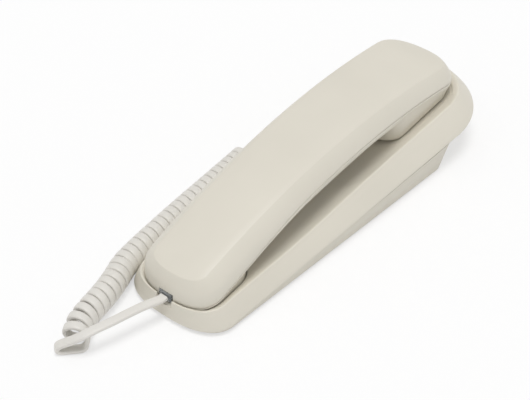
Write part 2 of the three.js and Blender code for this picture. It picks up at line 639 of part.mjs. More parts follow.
// Moves geometry made round the key panel's middle, +Z up into the handset, onto the panel.
function ontoPanel(geometry) {
  return geometry.rotateX(PANEL_TILT).translate(0, PANEL_Y, panel(PANEL_Y));
}

function ontoTray(geometry, x, y, z) {
  return geometry.rotateX(TRAY_TILT).translate(x, y, z);
}

const CAPSULE = { radius: 15.5, height: 7, y: EAR_CUP.mouthEnd + 30.5 };
const GASKET = { outer: 15.8, inner: 12.5, thick: 1.0 };
const MICROPHONE = { radius: 4.85, height: 5, x: 0, y: MOUTH_CUP.mouthEnd + 22.5 };

function makeBottomShell() {
  let outer = ringStack([
    ring(outline(HANDSET, 7), gripUnder),
    ring(outline(HANDSET, 4), (y) => Math.min(seam(y) - 6.7, panel(y) + 0.6)),
    ring(outline(HANDSET, 1.4), (y) => seam(y) - 4.6),
    ring(outline(HANDSET, 0.3), (y) => seam(y) - 2.2),
    ring(outline(HANDSET, 0), bottomTop),
  ]);
  outer = outer.add(ringStack([
    ring(outline(EAR_CUP, 2.6), cupSeat),
    ring(outline(EAR_CUP, 0.8), (y) => cupSeat(y) + 0.8),
    ring(outline(EAR_CUP, 0), (y) => cupSeat(y) + 3.2),
    ring(outline(EAR_CUP, -1.2), (y) => seam(y) - 1.5),
  ]));
  outer = outer.add(ringStack([
    ring(outline(MOUTH_CUP, 2.4), mouthSeat),
    ring(outline(MOUTH_CUP, 0.8), (y) => mouthSeat(y) + 0.7),
    ring(outline(MOUTH_CUP, 0), (y) => mouthSeat(y) + 2.6),
    ring(outline(MOUTH_CUP, -0.6), (y) => seam(y) - 1.5),
  ]));
  const high = (y) => seam(y) + 5;
  let inside = ringStack([
    ring(outline(HANDSET, 7.5), (y) => gripUnder(y) + GRIP_WALL),
    ring(outline(HANDSET, 3.2), (y) => seam(y) - 3.2),
    ring(outline(HANDSET, WALL), (y) => seam(y) - 1.8),
    ring(outline(HANDSET, WALL), high),
  ]);
  inside = inside.add(prism(EAR_CUP, WALL + 0.6, (y) => cupSeat(y) + WALL, high));
  inside = inside.add(prism(MOUTH_CUP, WALL + 0.6, (y) => mouthSeat(y) + MOUTH_FLOOR, high));
  let shell = outer.subtract(inside);
  for (const [x, y] of HANDSET_SCREWS) {
    const low = underside(y);
    const land = screwLand(y);
    shell = shell.add(drill(4.6, x, y, low + 1, land + LAND - low - 1, 16));
    shell = shell.subtract(drill(SCREW_HEAD + 0.4, x, y, low - 8, land - low + 8));
    shell = shell.subtract(drill(SCREW_SHANK + GAP, x, y, low, 20, 12));
  }
  const pocket = roundedPlate(PLATE.width + 0.8, PLATE.depth + 0.8, 3.4, PLATE.thick + GAP + 1);
  const window = roundedPlate(WINDOW_WIDTH, WINDOW_DEPTH, 2, PLATE.thick + GRIP_WALL + 4);
  pocket.translate(0, 0, -1);
  window.translate(0, 0, -1);
  shell = shell.subtract(solidOf(ontoPanel(pocket))).subtract(solidOf(ontoPanel(window)));

  // Sound holes: a ring and a centre under the earpiece, three slots under the microphone.
  for (let i = 0; i < 7; i += 1) {
    const angle = (i / 6) * 2 * Math.PI;
    const reach = i === 6 ? 0 : 5.2;
    const x = reach * Math.cos(angle);
    const y = CAPSULE.y + reach * Math.sin(angle);
    shell = shell.subtract(drill(1.2, x, y, cupSeat(y) - 2, 6, 8));
  }
  for (const x of [-3.4, 0, 3.4]) {
    const slot = boxAt(1.4, 5, 6, x, MICROPHONE.y, mouthSeat(MICROPHONE.y) + 0.5);
    shell = shell.subtract(solidOf(slot));
  }
  const opening = boxAt(PLUG_WIDTH + 1.0, 12, PLUG_HEIGHT + 0.7, JACK_X, HANDSET.mouthEnd, JACK_Z);
  return shell.subtract(solidOf(opening));
}
addPiece('handset_top_shell', geometryOf(makeTopShell()), IVORY);
addPiece('handset_bottom_shell', geometryOf(makeBottomShell()), IVORY);

HANDSET_SCREWS.forEach(([x, y], i) => {
  const land = screwLand(y);
  const screw = screwGeometry(land - GAP, land + LAND + SCREW_REACH);
  addPiece(`handset_screw_${i + 1}`, screw.translate(x, y, 0), STEEL);
});

// ---- handset: key panel -------------------------------------------------------------------
const KEY_WIDTH = 8.8;
const KEY_DEPTH = 7.2;
const KEY_STAND = 1.7;           // how far a key stands out of its plate
const KEY_FLANGE = 1.0;
const KEY_CLEAR = 0.35;
const KEY_NAMES = [
  ['redial', 'flash', 'mute'],
  ['1', '2', '3'],
  ['4', '5', '6'],
  ['7', '8', '9'],
  ['star', '0', 'hash'],
];

// Rows run from the ear end to the mouth end; seen on the panel's face, 1 lies to the left.
function keyPlace(row, column) {
  const x = (1 - column) * KEY_PITCH_X;
  const y = ((KEY_ROWS - 1) / 2 - row) * KEY_PITCH_Y;
  return [x, y];
}

let plate = solidOf(roundedPlate(PLATE.width, PLATE.depth, 3, PLATE.thick));
KEY_NAMES.forEach((names, row) => {
  names.forEach((name, column) => {
    const [x, y] = keyPlace(row, column);
    const depth = row === 0 ? KEY_DEPTH - 2.4 : KEY_DEPTH;
    const hole = roundedPlate(KEY_WIDTH + 2 * KEY_CLEAR, depth + 2 * KEY_CLEAR, 1.8, 6, 2);
    plate = plate.subtract(solidOf(hole.translate(x, y, -2)));
    const shaft = roundedPlate(KEY_WIDTH, depth, 1.5, KEY_STAND + PLATE.thick + 0.5, 2);
    const flangeZ = PLATE.thick + GAP + KEY_FLANGE / 2;
    const flange = boxAt(KEY_WIDTH + 1.4, depth + 1.4, KEY_FLANGE, x, y, flangeZ);
    const key = solidOf(shaft.translate(x, y, -KEY_STAND)).add(solidOf(flange));
    addPiece(`key_${name}`, ontoPanel(geometryOf(key)), KEY_IVORY);
  });
});
addPiece('key_plate', ontoPanel(geometryOf(plate)), SHADE_IVORY);

const matLow = PLATE.thick + GAP + KEY_FLANGE + KEY_TRAVEL + GAP;
const MAT_THICK = 1.2;
const matWidth = WINDOW_WIDTH + 0.4;
const mat = roundedPlate(matWidth, WINDOW_DEPTH, 2, MAT_THICK);
addPiece('key_mat', ontoPanel(mat.translate(0, 0, matLow)), MAT_GREY);
const handsetBoardZ = matLow + MAT_THICK + GAP + BOARD.thick / 2;
addPiece(
  'handset_board',
  ontoPanel(boxAt(HANDSET_BOARD.width, HANDSET_BOARD.depth, BOARD.thick, 0, HANDSET_BOARD.y, handsetBoardZ)),
  BOARD_GREEN,
);

// ---- handset: sound, weight and jack ------------------------------------------------------
const gasketLow = cupSeat(CAPSULE.y) + WALL + GAP;
const gasket = turned([
  [GASKET.inner, 0], [GASKET.outer, 0], [GASKET.outer, GASKET.thick],
  [GASKET.inner, GASKET.thick], [GASKET.inner, 0],
]);
addPiece('earpiece_gasket', ontoTray(gasket, 0, CAPSULE.y, gasketLow + 0.1), RUBBER);
const capsule = turned([
  [0, 0], [CAPSULE.radius - 1, 0], [CAPSULE.radius, 0.8], [CAPSULE.radius, 4],
  [CAPSULE.radius - 4, 4.4], [CAPSULE.radius - 5, CAPSULE.height], [0, CAPSULE.height],
]);
addPiece(
  'earpiece_capsule',
  ontoTray(capsule, 0, CAPSULE.y, gasketLow + GASKET.thick + 0.4),
  BLACK_PLASTIC,
);

const bootLow = mouthSeat(MICROPHONE.y) + MOUTH_FLOOR + GAP;
const boot = turned([
  [MICROPHONE.radius + GAP, 0], [MICROPHONE.radius + 1.8, 0], [MICROPHONE.radius + 1.8, 4.6],
  [MICROPHONE.radius + GAP, 4.6], [MICROPHONE.radius + GAP, 0],
]);
addPiece('microphone_boot', ontoTray(boot, MICROPHONE.x, MICROPHONE.y, bootLow), RUBBER);
const microphone = turned([
  [0, 0], [MICROPHONE.radius, 0], [MICROPHONE.radius, MICROPHONE.height], [0, MICROPHONE.height],
]);
addPiece('microphone_capsule', ontoTray(microphone, MICROPHONE.x, MICROPHONE.y, bootLow), STEEL);

// The steel weight fills the room between the screw's boss in the mouth cup and the board.
const WEIGHT_ENDS = [HANDSET_SCREWS[0][1] + 5.8, HANDSET_BOARD_ENDS[0] - 4.5];
const WEIGHT = {
  width: 26, height: 6, depth: WEIGHT_ENDS[1] - WEIGHT_ENDS[0], y: (WEIGHT_ENDS[0] + WEIGHT_ENDS[1]) / 2,
};
const weightTilt = Math.atan(HANDSET_PITCH - 2 * HANDSET_ARCH * WEIGHT.y);
addPiece(
  'handset_weight',
  boxAt(WEIGHT.width, WEIGHT.depth, WEIGHT.height, 0, 0, 0)
    .rotateX(weightTilt)
    .translate(0, WEIGHT.y, gripUnder(WEIGHT.y) + GRIP_WALL + GAP + WEIGHT.height / 2),
  STEEL,
);

const HANDSET_JACK = {
  width: 10.6, depth: 11.6, height: 7.8, foot: 1.3, face: HANDSET.mouthEnd + WALL + 2.8,
};
addPiece(
  'handset_jack',
  ontoTray(smallJack(HANDSET_JACK), JACK_X, HANDSET_JACK.face, JACK_Z),
  BLACK_PLASTIC,
);

// ---- cord ---------------------------------------------------------------------------------
// Clear four-pole plug that points to +Y, the middle of its rear face at the origin.
function plugGeometry() {
  const body = boxAt(PLUG_WIDTH, PLUG_LENGTH, PLUG_HEIGHT - 1.2, 0, PLUG_LENGTH / 2, 0.2);
  const latch = boxAt(3, PLUG_LENGTH - 2, 0.8, 0, PLUG_LENGTH / 2 + 0.5, -PLUG_HEIGHT / 2 + 0.4);
  const root = boxAt(3, 1.4, 1.4, 0, PLUG_LENGTH - 1.2, -PLUG_HEIGHT / 2 + 0.9);
  return geometryOf(solidOf(body).add(solidOf(latch)).add(solidOf(root)));
}
const PLUG_REAR = 5.6;           // how far the plug stands out of its jack
const plugRearZ = JACK_Z - PLUG_REAR * TRAY_SLOPE;
addPiece(
  'handset_plug',
  ontoTray(plugGeometry(), JACK_X, HANDSET_JACK.face - PLUG_REAR, plugRearZ),
  CLEAR,
);
const BASE_PLUG_REAR = 2.9;      // the same for the plug in the base
addPiece(
  'base_plug',
  plugGeometry()
    .rotateZ(-Math.PI / 2)
    .translate(CORD_JACK.face - BASE_PLUG_REAR, CORD_JACK.y, CORD_JACK.z),
  CLEAR,
);

// Flat section with eight sides: thickness along the path's normal, width across it.
function bandSection(width, thick) {
  const shape = new THREE.Shape();
  const half = width / 2 - thick * 0.3;
  const side = thick / 2;
  shape.moveTo(-side, -half);
  shape.lineTo(-side * 0.5, -width / 2);
  shape.lineTo(side * 0.5, -width / 2);
  shape.lineTo(side, -half);
  shape.lineTo(side, half);
  shape.lineTo(side * 0.5, width / 2);
  shape.lineTo(-side * 0.5, width / 2);
  shape.lineTo(-side, half);
  return shape;
}

// Straight stretch from the handset plug, over the rim and down to the fold under itself.
const HANDSET_STRETCH = [
  [-1.0, -109.1, 13.0], [-1.1, -111.3, 13.0], [-2.0, -114.6, 13.3], [-4.0, -121.4, 13.8],
  [-5.9, -128.6, 13.9], [-8.0, -136.3, 13.8], [-9.2, -140.0, 13.7], [-10.4, -143.5, 13.5],
  [-11.6, -146.4, 13.0], [-13.1, -149.3, 12.2], [-15.0, -151.3, 10.8], [-17.5, -153.0, 8.9],
  [-20.3, -154.7, 6.9], [-22.3, -156.2, 5.5], [-23.4, -157.2, 3.9], [-23.2, -156.8, 2.3],
  [-21.9, -155.3, 1.4], [-20.3, -153.5, 1.35],
];
// Straight stretch from the end of the curls into the jack in the side of the base.
const BASE_STRETCH = [
  [-49.6, 13.9, 1.35], [-50.1, 17.4, 1.35], [-50.0, 21.4, 1.35], [-48.2, 24.3, 1.45],
  [-46.0, 25, 2.2], [-44.4, 25, 4.3], [-43.0, 25, 6.5], [-41.3, 25, 7.6], [-39.2, 25, 7.6],
];

function stretchGeometry(points, steps) {
  const curve = new THREE.CatmullRomCurve3(points.map((p) => new THREE.Vector3(...p)));
  return new THREE.ExtrudeGeometry(bandSection(CORD_WIDTH, CORD_THICK), {
    steps,
    bevelEnabled: false,
    extrudePath: curve,
  });
}
addPiece('cord_handset_stretch', stretchGeometry(HANDSET_STRETCH, 26), CORD_WHITE);
addPiece('cord_base_stretch', stretchGeometry(BASE_STRETCH, 9), CORD_WHITE);

// Curls: a lead along the table, one unbroken helix, and a tail that leads off beside the base.
const CURL_STEPS = 8;
const OPEN_TURNS = 4;            // the turns next to the fold stand wider apart
const OPEN_PITCH = 6.6;
const CURL_REST = CURL_RADIUS + BAND_THICK / 2 + 0.2;
const CURL_AXIS = new THREE.CatmullRomCurve3([
  [-19.3, -148.7], [-21.4, -145.7], [-23.5, -142.0], [-25.0, -137.6], [-26.4, -131.5],
  [-27.6, -125], [-29.2, -118], [-31.6, -110.3], [-34.9, -101], [-36.7, -90], [-38.2, -75],
  [-39.5, -60], [-41.5, -30], [-43.7, 2], [-46, 30],
].map(([x, y]) => new THREE.Vector3(x, y, CURL_REST)));
const CURL_AXIS_LENGTH = CURL_AXIS.getLength();

// A turn starts at the base's side of the axis and rises.
function curlPoint(turn) {
  const open = Math.min(turn, OPEN_TURNS);
  const along = turn * CURL_PITCH + (OPEN_PITCH - CURL_PITCH) * (open - open * open / (2 * OPEN_TURNS));
  const axis = CURL_AXIS.getPointAt(along / CURL_AXIS_LENGTH);
  const heading = CURL_AXIS.getTangentAt(along / CURL_AXIS_LENGTH);
  const angle = turn * 2 * Math.PI;
  const radial = new THREE.Vector3(heading.y, -heading.x, 0).multiplyScalar(Math.cos(angle));
  radial.z = Math.sin(angle);
  return { point: axis.addScaledVector(radial, CURL_RADIUS), normal: radial };
}

// Smooth bend between two ends, from their points, directions and the band's normals.
function bend(from, fromDirection, to, toDirection, steps) {
  const curve = new THREE.CubicBezierCurve3(
    from.point, from.point.clone().add(fromDirection), to.point.clone().sub(toDirection), to.point,
  );
  return curve.getPoints(steps).slice(1, -1).map((point, i) => {
    const t = (i + 1) / steps;
    return { point, normal: from.normal.clone().lerp(to.normal, t * t * (3 - 2 * t)) };
  });
}

// The band lies flat on the table at both ends: where its lead and its tail start and end.
const LEAD = [[-20.0, -153.2, 1.35], [-16.6, -149.8, 1.35]];
const TAIL = [[-49.4, 8.7, 1.35], [-49.6, 13.6, 1.35]];

function curlPath() {
  const down = new THREE.Vector3(0, 0, -1);
  const up = new THREE.Vector3(0, 0, 1);
  const [leadStart, leadEnd] = LEAD.map((p) => ({ point: new THREE.Vector3(...p), normal: down }));
  const first = curlPoint(0);
  const heading = leadEnd.point.clone().sub(leadStart.point).setLength(3);
  const rising = new THREE.Vector3(0, 0.2, 3.2);
  const path = [leadStart, leadEnd, ...bend(leadEnd, heading, first, rising, 5)];
  const lastTurn = CURL_TURNS + 0.5;
  for (let i = 0; i <= lastTurn * CURL_STEPS; i += 1) path.push(curlPoint(i / CURL_STEPS));
  const end = path[path.length - 1];
  const [tailStart, tailEnd] = TAIL.map((p) => ({ point: new THREE.Vector3(...p), normal: up }));
  const sinking = new THREE.Vector3(0, 1.0, -3.0);
  const leaving = new THREE.Vector3(0, 3.0, 0);
  return [...path, ...bend(end, sinking, tailStart, leaving, 5), tailStart, tailEnd];
}

// Five-sided band swept along the path with its flat face turned to each point's normal.
function curlGeometry(path) {
  const section = [[-0.5, -0.5], [0.5, -0.5], [0.5, 0.2], [0, 0.5], [-0.5, 0.2]];
  const rings = path.map(({ point, normal }, i) => {
    const before = path[Math.max(i - 1, 0)].point;
    const after = path[Math.min(i + 1, path.length - 1)].point;
    const tangent = after.clone().sub(before).normalize();
    const across = tangent.clone().cross(normal).normalize();
    const outward = across.clone().cross(tangent).normalize();
    return section.map(([u, v]) => point.clone()
      .addScaledVector(across, u * BAND_WIDTH)
      .addScaledVector(outward, v * BAND_THICK));
  });
  const sides = section.length;
  const positions = rings.flat().flatMap((p) => p.toArray());
  const index = [];
  for (let k = 0; k < rings.length - 1; k += 1) {
    for (let i = 0; i < sides; i += 1) {
      const j = (i + 1) % sides;
      const a = k * sides;
      const b = a + sides;
      index.push(a + i, b + j, a + j, a + i, b + i, b + j);
    }
  }
  const last = (rings.length - 1) * sides;
  for (let i = 1; i < sides - 1; i += 1) {
    index.push(0, i, i + 1, last, last + i + 1, last + i);
  }
  const geometry = new THREE.BufferGeometry();
  geometry.setAttribute('position', new THREE.Float32BufferAttribute(positions, 3));
  geometry.setIndex(index);
  return { geometry, rings };
}

const curls = curlPath();
const curlBody = curlGeometry(curls);
addPiece('cord_curls', curlBody.geometry, CORD_WHITE);

// Least distance between the band's corners on neighbouring turns.
function leastGap(rings) {
  let least = Infinity;
  for (let a = 0; a < rings.length; a += 1) {
    for (let b = a + 5; b < Math.min(a + 14, rings.length); b += 1) {
      for (const p of rings[a]) {
        for (const q of rings[b]) least = Math.min(least, p.distanceTo(q));
      }
    }
  }
  return least;
}
console.log(`least gap between curls: ${leastGap(curlBody.rings).toFixed(2)} mm`);

export default group;
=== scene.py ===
import json
import math

import bmesh
import bpy
from mathutils import Matrix, Vector


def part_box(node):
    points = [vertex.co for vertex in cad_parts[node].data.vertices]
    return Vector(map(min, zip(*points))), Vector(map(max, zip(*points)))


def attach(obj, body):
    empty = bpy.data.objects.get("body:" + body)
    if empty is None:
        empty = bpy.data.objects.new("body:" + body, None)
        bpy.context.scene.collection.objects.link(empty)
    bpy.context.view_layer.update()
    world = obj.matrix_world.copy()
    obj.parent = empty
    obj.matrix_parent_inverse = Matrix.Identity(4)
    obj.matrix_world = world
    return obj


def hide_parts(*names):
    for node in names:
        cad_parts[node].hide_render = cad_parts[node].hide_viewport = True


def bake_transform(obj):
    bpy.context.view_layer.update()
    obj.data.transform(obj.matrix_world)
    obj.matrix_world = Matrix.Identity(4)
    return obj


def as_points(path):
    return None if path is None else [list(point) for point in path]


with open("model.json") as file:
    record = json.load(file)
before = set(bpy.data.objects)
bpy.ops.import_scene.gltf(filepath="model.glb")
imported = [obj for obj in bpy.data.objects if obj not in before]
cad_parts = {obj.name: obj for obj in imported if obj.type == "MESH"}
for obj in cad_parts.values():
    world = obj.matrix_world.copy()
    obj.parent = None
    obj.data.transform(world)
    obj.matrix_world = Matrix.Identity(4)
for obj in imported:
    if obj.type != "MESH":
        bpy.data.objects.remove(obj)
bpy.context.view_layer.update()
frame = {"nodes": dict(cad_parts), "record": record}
mm = 0.001  # lengths below are in millimetres unless they say otherwise
print("frame:", len(frame["nodes"]), "nodes")

# the camera stands where the photograph was taken from
camera = {
    "azimuth": 38.961,  # degrees round from the mouth end of the phone
    "elevation": 40.577,
    "distance": 0.7006,
    "target": (0.0, -0.0148, 0.0194),
    "lens": 95.57,
    "shift": (-0.05526, -0.03083),
}


def makeCamera(setup):
    azimuth, elevation = math.radians(setup["azimuth"]), math.radians(setup["elevation"])
    back = Vector((
        math.sin(azimuth) * math.cos(elevation),
        -math.cos(azimuth) * math.cos(elevation),
        math.sin(elevation),
    ))
    data = bpy.data.cameras.new("photoCamera")
    data.lens = setup["lens"]
    data.sensor_width = 36
    data.shift_x, data.shift_y = setup["shift"]
    data.clip_start, data.clip_end = 0.05, 20
    eye = bpy.data.objects.new("photoCamera", data)
    eye.location = Vector(setup["target"]) + back * setup["distance"]
    eye.rotation_mode = "QUATERNION"
    eye.rotation_quaternion = (-back).to_track_quat("-Z", "Y")
    bpy.context.scene.collection.objects.link(eye)
    bpy.context.scene.camera = eye


makeCamera(camera)
print("camera")


# finishes
def linear(red, green, blue):
    # screen colour, 0 to 255, as the light values that a shader wants
    def channel(value):
        share = value / 255
        return share / 12.92 if share <= 0.04045 else ((share + 0.055) / 1.055) ** 2.4

    return (channel(red), channel(green), channel(blue), 1)


def plastic(colour, tone, rough, grain, height):
    # colour and second tone 0 to 255, roughness, grain size per metre, grain height in mm
    return {"colour": colour, "tone": tone, "rough": rough, "grain": grain, "height": height}


finishes = {
    "ivoryPlastic": plastic((224, 219, 206), (221, 216, 203), 0.42, 2600, 0.012),
    # painted shade: the lower cover's pedestal gets a slightly darker copy of the ivory plastic, standing
    # for the shade that falls on it
    "shadedBasePlastic": plastic((219, 214, 201), (216, 211, 198), 0.45, 2600, 0.014),
    "keyPlastic": plastic((229, 227, 219), (225, 223, 214), 0.36, 3000, 0.006),
    "blackPlastic": plastic((30, 30, 32), (24, 24, 26), 0.45, 2400, 0.01),
    "rubber": plastic((58, 58, 60), (50, 50, 52), 0.85, 1500, 0.03),
    "siliconeMat": plastic((141, 143, 146), (133, 135, 138), 0.7, 1200, 0.02),
    "cordVinyl": plastic((228, 225, 219), (224, 221, 214), 0.38, 1800, 0.008),
    "keyPrint": plastic((62, 64, 68), (56, 58, 62), 0.6, 3000, 0.004),
}


def newMaterial(name):
    material = bpy.data.materials.new(name)
    material.use_nodes = True
    tree = material.node_tree
    return material, tree, tree.nodes["Principled BSDF"]


def noiseNode(tree, scale, detail=2.0):
    place = tree.nodes.new("ShaderNodeTexCoord")
    noise = tree.nodes.new("ShaderNodeTexNoise")
    noise.inputs["Scale"].default_value = scale
    noise.inputs["Detail"].default_value = detail
    tree.links.new(place.outputs["Object"], noise.inputs["Vector"])
    return noise


def bumpNode(tree, height, distance, strength=1.0):
    bump = tree.nodes.new("ShaderNodeBump")
    bump.inputs["Distance"].default_value = distance
    bump.inputs["Strength"].default_value = strength
    tree.links.new(height, bump.inputs["Height"])
    return bump


def toneRamp(tree, factor, dark, light, low=0.35, high=0.65):
    ramp = tree.nodes.new("ShaderNodeValToRGB")
    ramp.color_ramp.elements[0].color, ramp.color_ramp.elements[0].position = dark, low
    ramp.color_ramp.elements[1].color, ramp.color_ramp.elements[1].position = light, high
    tree.links.new(factor, ramp.inputs["Fac"])
    return ramp


def roughRange(tree, factor, low, high):
    span = tree.nodes.new("ShaderNodeMapRange")
    span.inputs["To Min"].default_value = low
    span.inputs["To Max"].default_value = high
    tree.links.new(factor, span.inputs["Value"])
    return span


def mouldedPlastic(name, values):
    material, tree, shader = newMaterial(name)
    cloud = noiseNode(tree, 22, 3.0)  # slow drift of the moulded colour
    ramp = toneRamp(tree, cloud.outputs["Fac"], linear(*values["tone"]), linear(*values["colour"]))
    tree.links.new(ramp.outputs["Color"], shader.inputs["Base Color"])
    smear = noiseNode(tree, 90, 4.0)
    rough = roughRange(tree, smear.outputs["Fac"], values["rough"] - 0.05, values["rough"] + 0.06)
    tree.links.new(rough.outputs["Result"], shader.inputs["Roughness"])
    grain = noiseNode(tree, values["grain"], 2.0)
    bump = bumpNode(tree, grain.outputs["Fac"], values["height"] * mm, 0.5)
    tree.links.new(bump.outputs["Normal"], shader.inputs["Normal"])
    shader.inputs["IOR"].default_value = 1.5
    return material


materials = {name: mouldedPlastic(name, values) for name, values in finishes.items()}


def brushedSteel():
    material, tree, shader = newMaterial("steel")
    cloud = noiseNode(tree, 300, 3.0)
    ramp = toneRamp(tree, cloud.outputs["Fac"], linear(168, 172, 176), linear(196, 199, 203))
    tree.links.new(ramp.outputs["Color"], shader.inputs["Base Color"])
    rough = roughRange(tree, cloud.outputs["Fac"], 0.24, 0.4)
    tree.links.new(rough.outputs["Result"], shader.inputs["Roughness"])
    bump = bumpNode(tree, noiseNode(tree, 1800, 2.0).outputs["Fac"], 0.01 * mm, 0.4)
    tree.links.new(bump.outputs["Normal"], shader.inputs["Normal"])
    shader.inputs["Metallic"].default_value = 1
    return material


def goldContact():
    material, tree, shader = newMaterial("gold")
    cloud = noiseNode(tree, 500, 2.0)
    ramp = toneRamp(tree, cloud.outputs["Fac"], linear(206, 160, 78), linear(232, 190, 104))
    tree.links.new(ramp.outputs["Color"], shader.inputs["Base Color"])
    rough = roughRange(tree, cloud.outputs["Fac"], 0.2, 0.34)
    tree.links.new(rough.outputs["Result"], shader.inputs["Roughness"])
    shader.inputs["Metallic"].default_value = 1
    return material


def clearPlastic():
    material, tree, shader = newMaterial("clearPlastic")
    cloud = noiseNode(tree, 400, 2.0)
    ramp = toneRamp(tree, cloud.outputs["Fac"], linear(228, 233, 235), linear(244, 247, 248))
    tree.links.new(ramp.outputs["Color"], shader.inputs["Base Color"])
    rough = roughRange(tree, cloud.outputs["Fac"], 0.05, 0.14)
    tree.links.new(rough.outputs["Result"], shader.inputs["Roughness"])
    shader.inputs["Transmission Weight"].default_value = 0.8
    shader.inputs["IOR"].default_value = 1.45
    return material


def circuitBoard():
    material, tree, shader = newMaterial("circuitBoard")
    place = tree.nodes.new("ShaderNodeTexCoord")
    tracks = tree.nodes.new("ShaderNodeTexVoronoi")
    tracks.distance = "CHEBYCHEV"
    tracks.feature = "DISTANCE_TO_EDGE"
    tracks.inputs["Scale"].default_value = 260
    tree.links.new(place.outputs["Object"], tracks.inputs["Vector"])
    ramp = toneRamp(tree, tracks.outputs["Distance"], linear(66, 128, 74), linear(38, 92, 52), 0.03, 0.08)
    tree.links.new(ramp.outputs["Color"], shader.inputs["Base Color"])
    rough = roughRange(tree, noiseNode(tree, 120, 2.0).outputs["Fac"], 0.32, 0.46)
    tree.links.new(rough.outputs["Result"], shader.inputs["Roughness"])
    bump = bumpNode(tree, tracks.outputs["Distance"], 0.03 * mm, 0.4)
    tree.links.new(bump.outputs["Normal"], shader.inputs["Normal"])
    return material


materials["steel"] = brushedSteel()
materials["gold"] = goldContact()
materials["clearPlastic"] = clearPlastic()
materials["circuitBoard"] = circuitBoard()
print("finishes:", len(materials))

# the whole phone: heights and plan outlines, tied to the frame's own box of the base
baseLow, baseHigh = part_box("base_upper_shell")
mouthTip, earTip = round(baseLow[1] / mm, 2), round(baseHigh[1] / mm, 2)
phone = {
    "gap": 0.3,
    "wall": 2.2,
    "trayStart": mouthTip - 1.2,
    "trayLow": 2.0,
    "trayRise": 18.72,  # from trayStart to the ear end
    "rimHeight": 10.5,
    "rimDip": 1.6,
    "crown": 47.3,
    "handsetRise": 15.73,
    "handsetSag": 15.96,
    "seamDrop": 9.0,
    "seamSag": 4.0,  # how much lower the seam runs at the mouth end, and from where to where
    "sagStart": -30,
    "sagEnd": -92,
    "gripDrop": 16.5,
    "panelY": -8,
    "panelDrop": 18.8,
    "panelSlope": 0.0926,
    "cupSeat": 6.4,  # ear cup above the tray
    "mouthSeat": 2.8,  # mouth cup above the tray
    "topRise": 0.8,
}
traySlope = phone["trayRise"] / (earTip - phone["trayStart"])
trayTilt, panelTilt = math.atan(traySlope), math.atan(phone["panelSlope"])
panelMiddle = phone["crown"] - phone["panelDrop"]


def trayAt(y):
    return phone["trayLow"] + traySlope * (y - phone["trayStart"])


def aboveTray(height):
    return lambda y: trayAt(y) + height


def rimAt(y):
    return trayAt(y) + phone["rimHeight"] - phone["rimDip"] * math.exp(-(((y + 40) / 36) ** 2))


def creaseAt(y):
    rise = phone["handsetRise"] * y / (earTip - mouthTip)
    return phone["crown"] + rise - phone["handsetSag"] * (y / earTip) ** 2


def seamSag(y):
    # the seam runs lower towards the mouth end, down into the pocket there
    share = min(max((phone["sagStart"] - y) / (phone["sagStart"] - phone["sagEnd"]), 0), 1)
    return phone["seamSag"] * share * share * (3 - 2 * share)


def seamAt(y):
    return creaseAt(y) - phone["seamDrop"] - seamSag(y)


def panelAt(y):
    return panelMiddle + phone["panelSlope"] * (y - phone["panelY"])


def gripAt(y):
    return min(creaseAt(y) - phone["gripDrop"], panelAt(y))


def cupAt(y):
    return trayAt(y) + phone["cupSeat"]


def mouthCupAt(y):
    return trayAt(y) + phone["mouthSeat"]


def plan(mouthHalf, earHalf, mouthEnd, earEnd, mouthRound, earRound, mouthPower, earPower):
    # half widths and positions of both ends, how long their rounding is and how square
    return dict(
        mouthHalf=mouthHalf, earHalf=earHalf, mouthEnd=mouthEnd, earEnd=earEnd,
        mouthRound=mouthRound, earRound=earRound, mouthPower=mouthPower, earPower=earPower,
    )


plans = {
    "lowerEdge": plan(29.8, 41.0, mouthTip, earTip, 18, 38.5, 2.6, 2.1),
    "rim": plan(24.8, 30.3, mouthTip + 1.4, earTip - 8.3, 16, 26, 2.6, 2.2),
    "handset": plan(22.6, 24.4, mouthTip + 2.9, earTip - 12.3, 15, 18, 2.6, 2.4),
    "earCup": plan(22.7, 22.7, earTip - 76.3, earTip - 14.0, 13, 17, 2.3, 2.3),
    "mouthCup": plan(20.9, 20.4, mouthTip + 4.6, mouthTip + 45.6, 13, 17, 2.5, 2.1),
    "earRecess": plan(27.4, 27.4, earTip - 113.8, earTip - 11.3, 14, 23, 2.5, 2.2),
    "mouthFill": plan(24.8, 25.6, mouthTip + 1.4, mouthTip + 49.2, 16, 12, 2.6, 2.2),
    "mouthFloor": plan(24.8, 25.6, mouthTip + 1.4, mouthTip + 52.8, 16, 8, 2.6, 2.2),
    "pedestalFoot": plan(29.0, 37.8, mouthTip + 1.2, earTip - 49.3, 17, 5, 2.6, 5),
    "pedestalTop": plan(29.2, 40.2, mouthTip + 0.6, earTip - 44.3, 17.5, 5, 2.6, 5),
    "closure": plan(32.4, 41.0, mouthTip + 60.8, earTip, 12, 38.5, 2.6, 2.1),
    "hollow": plan(29.0, 35.0, mouthTip + 67.4, earTip - 52.2, 8, 4, 2.6, 6),
}
planSteps = {"end": 18, "side": 38}


